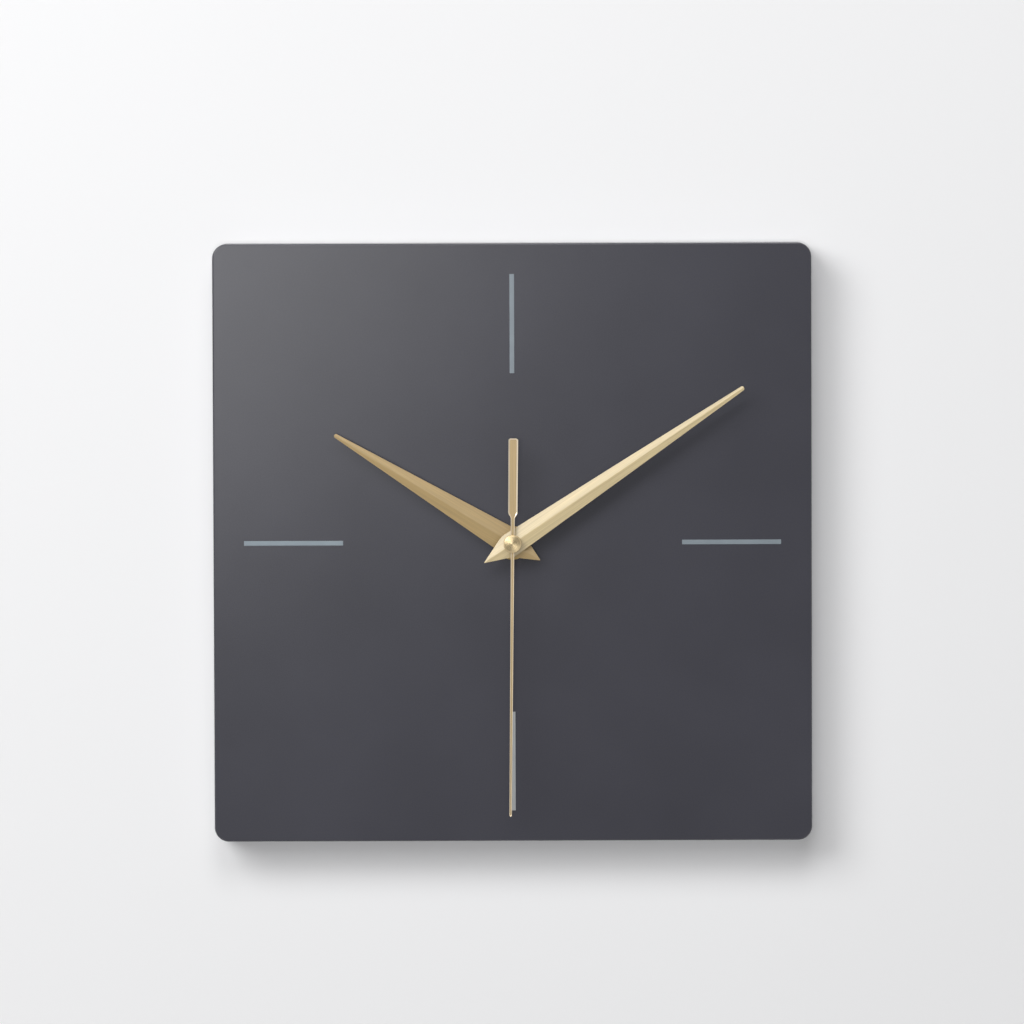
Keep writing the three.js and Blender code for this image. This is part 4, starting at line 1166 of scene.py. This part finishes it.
def make_movement(black_plastic, polished):
    """The movement's shell with its snap hooks, its cover and its knob."""
    case = Box("movement_case")
    cover = Box("movement_back_cover")
    bm = softened(copy_of("movement_case"), shell_edge, steps=2, sharper_than=60)
    hook_front, hook_back = case.back - hook_length, cover.back - hook_drop
    hooks = []
    for side in (-1, 1):
        wall = side * case.right
        left, right = sorted((wall - side * past, wall + side * hook_proud))
        for z in hook_heights:
            hook = block(left, right, z - hook_half, z + hook_half, hook_front, hook_back)
            hooks.append(softened(hook, hook_edge))
    bm = one_material(added(bm, *hooks))
    piece("movement_shell", bm, [black_plastic], "case", ["movement_case"],
          smooth=30)
    make_cover(case, cover, black_plastic, polished)
    make_knob(black_plastic)


def make_cover(case, cover, black_plastic, polished):
    """The back cover, with the poles' signs, the setting arrows and a panel sunk in it."""
    bm = softened(copy_of("movement_back_cover"), cover_edge, steps=2, sharper_than=60)
    deep = cover.back - engraving
    out = cover.back + past
    low = cover.bottom + sign_rise
    plus_x, minus_x = case.right - sign_inset, case.left + sign_inset
    tools = [
        stroke(plus_x, low, sign_arm, sign_half_stroke, deep, out),
        stroke(plus_x, low, sign_half_stroke, sign_arm, deep, out),
        stroke(minus_x, low, sign_arm, sign_half_stroke, deep, out),
    ]
    knob_middle = Box("setting_knob").middle
    for start_at, end_at in arrow_spans:
        tools += arrow_round(knob_middle, start_at, end_at, deep, out)
    panel = block(
        case.left + panel_gap, panel_right,
        cover.bottom + panel_foot, cover.top - panel_gap,
        deep, out,
    )
    tools.append(bevelled(panel, upright_edges(panel), panel_corner, steps=5))
    piece("movement_cover", cut(bm, *tools), [black_plastic, polished], "case",
          ["movement_back_cover"], smooth=30)


def make_knob(black_plastic):
    """The time-setting knob: ribbed round its rim, dished, with a bar to grip."""
    box = Box("setting_knob")
    radius = (box.right - box.left) / 2
    blank = rod(radius, box.front, box.back, steps=knob_points_per_rib * knob_ribs)
    bm = softened(blank, knob_edge, steps=2, sharper_than=60)
    for vert in bm.verts:
        spoke = Vector((vert.co.x, 0, vert.co.z))
        wave = (1 + math.cos(knob_ribs * math.atan2(spoke.z, spoke.x))) / 2
        if spoke.length > radius - knob_rib_reach:
            vert.co -= spoke.normalized() * knob_rib_depth * wave
    dish = rod(radius - knob_rim, box.back - knob_dish_depth, box.back + past)
    socket = rod(knob_socket_radius, box.front - past, box.front + knob_socket_depth, steps=24)
    grip = block(
        -knob_grip_half, knob_grip_half, -knob_grip_width / 2, knob_grip_width / 2,
        box.back - knob_grip_height, box.back,
    )
    softened(grip, knob_edge, steps=3)
    bm = one_material(added(cut(bm, dish, socket), grip))
    moved(bm, (box.middle.x, 0, box.middle.z))
    piece("time_knob", bm, [black_plastic], "setting", ["setting_knob"], smooth=30)


def make_cell(sleeve, steel):
    """The cell, spun about its length; its ends are bare steel within the sleeve's rims."""
    box = Box("battery_cell")
    radius = (box.top - box.bottom) / 2
    length = box.right - box.left
    can = length - cell_nub_rise
    profile = cell_flat_end + [(radius, cell_flat_round), (radius, can - cell_shoulder_round)]
    profile += [(reach, can + along) for reach, along in cell_shoulder]
    profile += [(reach, length + along) for reach, along in cell_nub]
    bm = spun(profile, steps=96)
    bm.normal_update()
    for face in bm.faces:
        middle = face.calc_center_median()
        if math.hypot(middle.x, middle.z) < cell_bare_radius:
            face.material_index = 1
    turned(bm, -90, "Z")
    moved(bm, (box.left, box.middle.y, box.middle.z))
    piece("cell", bm, [sleeve, steel], "battery", ["battery_cell"], smooth=30)


def cell_sleeve():
    """A plain printed sleeve: a dark body, a pale band at the nub's end, and the poles' signs."""
    box = Box("battery_cell")
    material, shader = start("cell_sleeve", Metallic=0.25, Coat_Weight=0.6, Coat_Roughness=0.08)
    position = add(material, "ShaderNodeSeparateXYZ", {
        "Vector": place(material, centre=(box.left, box.middle.y, box.middle.z)),
    })
    x, z = position.outputs["X"], position.outputs["Z"]
    silver = screen(196, 198, 196)
    band = math_node(material, "GREATER_THAN", x, band_from)
    pinstripe = inside(material, x, pinstripe_at, print_stroke)
    plus = math_node(
        material, "MAXIMUM",
        printed_bar(material, x, z, plus_at, print_arm, print_stroke),
        printed_bar(material, x, z, plus_at, print_stroke, print_arm),
    )
    minus = printed_bar(material, x, z, minus_at, print_arm, print_stroke)
    colour = blend_colours(material, band, screen(38, 84, 104), silver)
    colour = blend_colours(material, pinstripe, colour, silver)
    colour = blend_colours(material, plus, colour, screen(30, 34, 38))
    colour = blend_colours(material, minus, colour, screen(224, 226, 224))
    scuffs = noise(material, size=(6, 0.4, 0.4), detail=4)
    rough = spread(material, scuffs, low=0.22, high=0.38)
    dents = noise(material, size=3)
    return finish_with(material, shader, colour, rough, relief(material, dents, depth=0.01))


def printed_bar(material, x, z, middle, half_length, half_width):
    """1 within a bar that is printed on the sleeve, else 0."""
    along = inside(material, x, middle, half_length)
    return math_node(material, "MULTIPLY", along, inside(material, z, 0.0, half_width))


def inside(material, value, middle, reach):
    """1 where a value is within reach of a middle, else 0."""
    off = math_node(material, "ABSOLUTE", math_node(material, "SUBTRACT", value, middle))
    return math_node(material, "LESS_THAN", off, reach)


def make_contacts(nickel):
    for end in ("positive", "negative"):
        node = f"battery_contact_{end}"
        bm = softened(copy_of(node), contact_edge, steps=2, sharper_than=50)
        piece(f"contact_{end}", bm, [nickel], "case", [node], smooth=30)


def wear(finish, *nodes):
    """Gives solids that stay as they are a finish."""
    for node in nodes:
        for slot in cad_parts[node].material_slots:
            slot.material = finish


# Stage

def wall_paint():
    """Pale paint that is seen from its front only, and lets light by to the board's back."""
    material, shader = start("pale_wall", Roughness=0.9, Specular_IOR_Level=0.2)
    pale = screen(244, 244, 245)
    mottled = blend_colours(material, noise(material, size=300), pale, toned(pale, 0.99))
    feed(material, shader.inputs["Base Color"], mottled)
    rays = add(material, "ShaderNodeLightPath")
    behind = add(material, "ShaderNodeNewGeometry").outputs["Backfacing"]
    covered = behind_outline(material)
    unseen = math_node(material, "SUBTRACT", 1.0, rays.outputs["Is Camera Ray"])
    behind_board = math_node(material, "MULTIPLY", covered, unseen)
    passing = math_node(material, "MAXIMUM", rays.outputs["Is Shadow Ray"], behind_board)
    clear = add(material, "ShaderNodeBsdfTransparent").outputs["BSDF"]
    mix = add(material, "ShaderNodeMixShader", {
        "Fac": math_node(material, "MAXIMUM", behind, passing),
        1: shader.outputs["BSDF"],
        2: clear,
    })
    output = material.node_tree.nodes["Material Output"]
    feed(material, output.inputs["Surface"], mix.outputs["Shader"])
    return material


def behind_outline(material):
    """1 where the board with its rounded corners stands before the wall, else 0."""
    straight = Box("clock_body").right - board_corner
    offset = vector_node(material, "ABSOLUTE", sideways(material, (0, 0, hub.z)))["Vector"]
    beyond = vector_node(material, "SUBTRACT", offset, (straight, 0, straight))["Vector"]
    into_corner = vector_node(material, "MAXIMUM", beyond, (0, 0, 0))["Vector"]
    reach = vector_node(material, "LENGTH", into_corner)["Value"]
    return math_node(material, "LESS_THAN", reach, board_corner)


def make_wall():
    """The wall, with a hole behind the board for views from behind."""
    wall = bmesh.new()
    bmesh.ops.create_grid(wall, x_segments=1, y_segments=1, size=wall_half)
    hole_half = (Box("clock_body").right - hole_inside_edge) * MM
    middle = wall.faces[:]
    bmesh.ops.inset_region(
        wall, faces=middle, thickness=wall_half - hole_half, use_even_offset=True,
        use_boundary=True,
    )
    bmesh.ops.delete(wall, geom=middle, context="FACES")
    turned(wall, 90, "X")
    moved(wall, (0, 0, hub.z * MM))
    mesh = bpy.data.meshes.new("wall")
    wall.to_mesh(mesh)
    wall.free()
    mesh.materials.append(wall_paint())
    obj = bpy.data.objects.new("wall", mesh)
    bpy.context.scene.collection.objects.link(obj)


def lamp(name, place_at, aim, radius, watts):
    light = bpy.data.lights.new(name, "AREA")
    light.shape = "DISK"
    light.size = 2 * radius
    light.energy = watts
    obj = bpy.data.objects.new(name, light)
    obj.location = place_at
    direction = Vector(aim) - Vector(place_at)
    obj.rotation_euler = direction.to_track_quat("-Z", "Y").to_euler()
    obj.visible_camera = False
    bpy.context.scene.collection.objects.link(obj)
    return obj


def room_lamp(name, left, up, distance, radius, share):
    """A round soft lamp before the wall, with the watts that its share of the light takes."""
    middle = hub * MM
    out = Vector((-left, -1, up)).normalized()
    watts = share * math.pi ** 2 * (radius ** 2 + distance ** 2) / -out.y
    return lamp(name, middle + out * distance, middle, radius, watts)


def light_the_room():
    room_lamp("key", **key_lamp)
    room_lamp("window", **window_lamp)
    room_lamp("ceiling", **ceiling_lamp)
    room_lamp("table", **table_card)
    front = room_lamp("front", **front_lamp)
    front.visible_glossy = False
    for side in (-1, 1):
        spot = (side * rear_lamp["beside"], rear_lamp["behind"], rear_lamp["above"])
        lamp(f"rear_{side}", spot, hub * MM, rear_lamp["radius"], rear_lamp["watts"])


def paint_the_room():
    """The world: a pale backdrop to the camera, a dim fill, and a room for polished surfaces."""
    world = bpy.data.worlds.new("room")
    world.use_nodes = True
    bpy.context.scene.world = world
    rays = add(world, "ShaderNodeLightPath").outputs
    seen = math_node(world, "MAXIMUM", rays["Is Camera Ray"], rays["Is Transmission Ray"])
    direction = add(world, "ShaderNodeTexCoord").outputs["Generated"]
    depth = add(world, "ShaderNodeSeparateXYZ", {"Vector": direction}).outputs["Y"]
    room = spread(world, depth, room_front, room_sides, *room_front_to_sides)
    fill = spread(world, depth, fill_front, fill_rear, *fill_front_to_rear)
    mirrored = spread(world, rays["Is Glossy Ray"], fill, room, start_at=0, end_at=1)
    strength = spread(world, seen, mirrored, 1.0, start_at=0, end_at=1)
    background = world.node_tree.nodes["Background"]
    feed(world, background.inputs["Strength"], strength)
    feed(world, background.inputs["Color"], screen(244, 244, 246))


def set_camera():
    camera = bpy.data.cameras.new("camera")
    camera.lens = camera_lens
    camera.clip_start = camera_near
    obj = bpy.data.objects.new("camera", camera)
    aim = Vector((camera_aim_right, dial_face * MM, hub.z * MM + camera_aim_above_hub))
    rise = math.radians(camera_rise)
    out = Vector((0, -math.cos(rise), math.sin(rise)))
    obj.location = aim + out * camera_distance
    roll = Matrix.Rotation(math.radians(-camera_roll), 4, "Z")
    facing = (-out).to_track_quat("-Z", "Y").to_matrix().to_4x4()
    obj.rotation_euler = (facing @ roll).to_euler()
    bpy.context.scene.collection.objects.link(obj)
    bpy.context.scene.camera = obj
    bpy.context.scene.view_settings.view_transform = "Standard"


def make_clock():
    brass = turned_metal("turned_brass", hub, screen(206, 176, 112))
    cap_gold = turned_metal("cap_gold", hub, screen(226, 204, 160), groove=0.0008)
    zinc = rolled_steel("zinc_plate", screen(172, 175, 179))
    nickel = rolled_steel("nickel_spring", screen(206, 204, 198), grain=(0.1, 0.1, 5))
    black_plastic = moulded("black_plastic", screen(38, 38, 40))
    black_rubber = rubber()
    make_board(charcoal_paint(), raw_fibreboard())
    make_marks()
    make_pads(pressed_felt())
    make_hanger(zinc, rolled_steel("screw_steel", screen(140, 142, 146), grain=(0.4, 0.4, 0.4)))
    make_fixing(brass, black_rubber)
    make_hands(cap_gold, brass)
    polished = moulded("polished_plastic", screen(40, 40, 42), height=0.002, rough=(0.2, 0.28))
    make_movement(black_plastic, polished)
    make_cell(cell_sleeve(), nickel)
    make_contacts(nickel)
    motor_steel = rolled_steel("motor_steel", screen(170, 171, 173))
    white = acetal("white_acetal", screen(226, 223, 212))
    wear(white, "middle_plate", "coil_bobbin", "transfer_wheel", "seconds_wheel", "third_wheel",
         "centre_wheel", "motion_wheel", "hour_wheel", "setting_shaft")
    wear(acetal("red_acetal", screen(190, 62, 52)), "rotor_pinion")
    wear(motor_steel, "stator_plate", "coil_core", "seconds_arbor", "cannon_pinion",
         "quartz_crystal")
    wear(nickel, "clutch_spring")
    wear(copper_winding(), "coil_winding")
    wear(ferrite(), "rotor_magnet")
    wear(green_laminate(), "circuit_board")
    wear(resin_drop(), "clock_chip")


make_clock()
make_wall()
light_the_room()
paint_the_room()
set_camera()
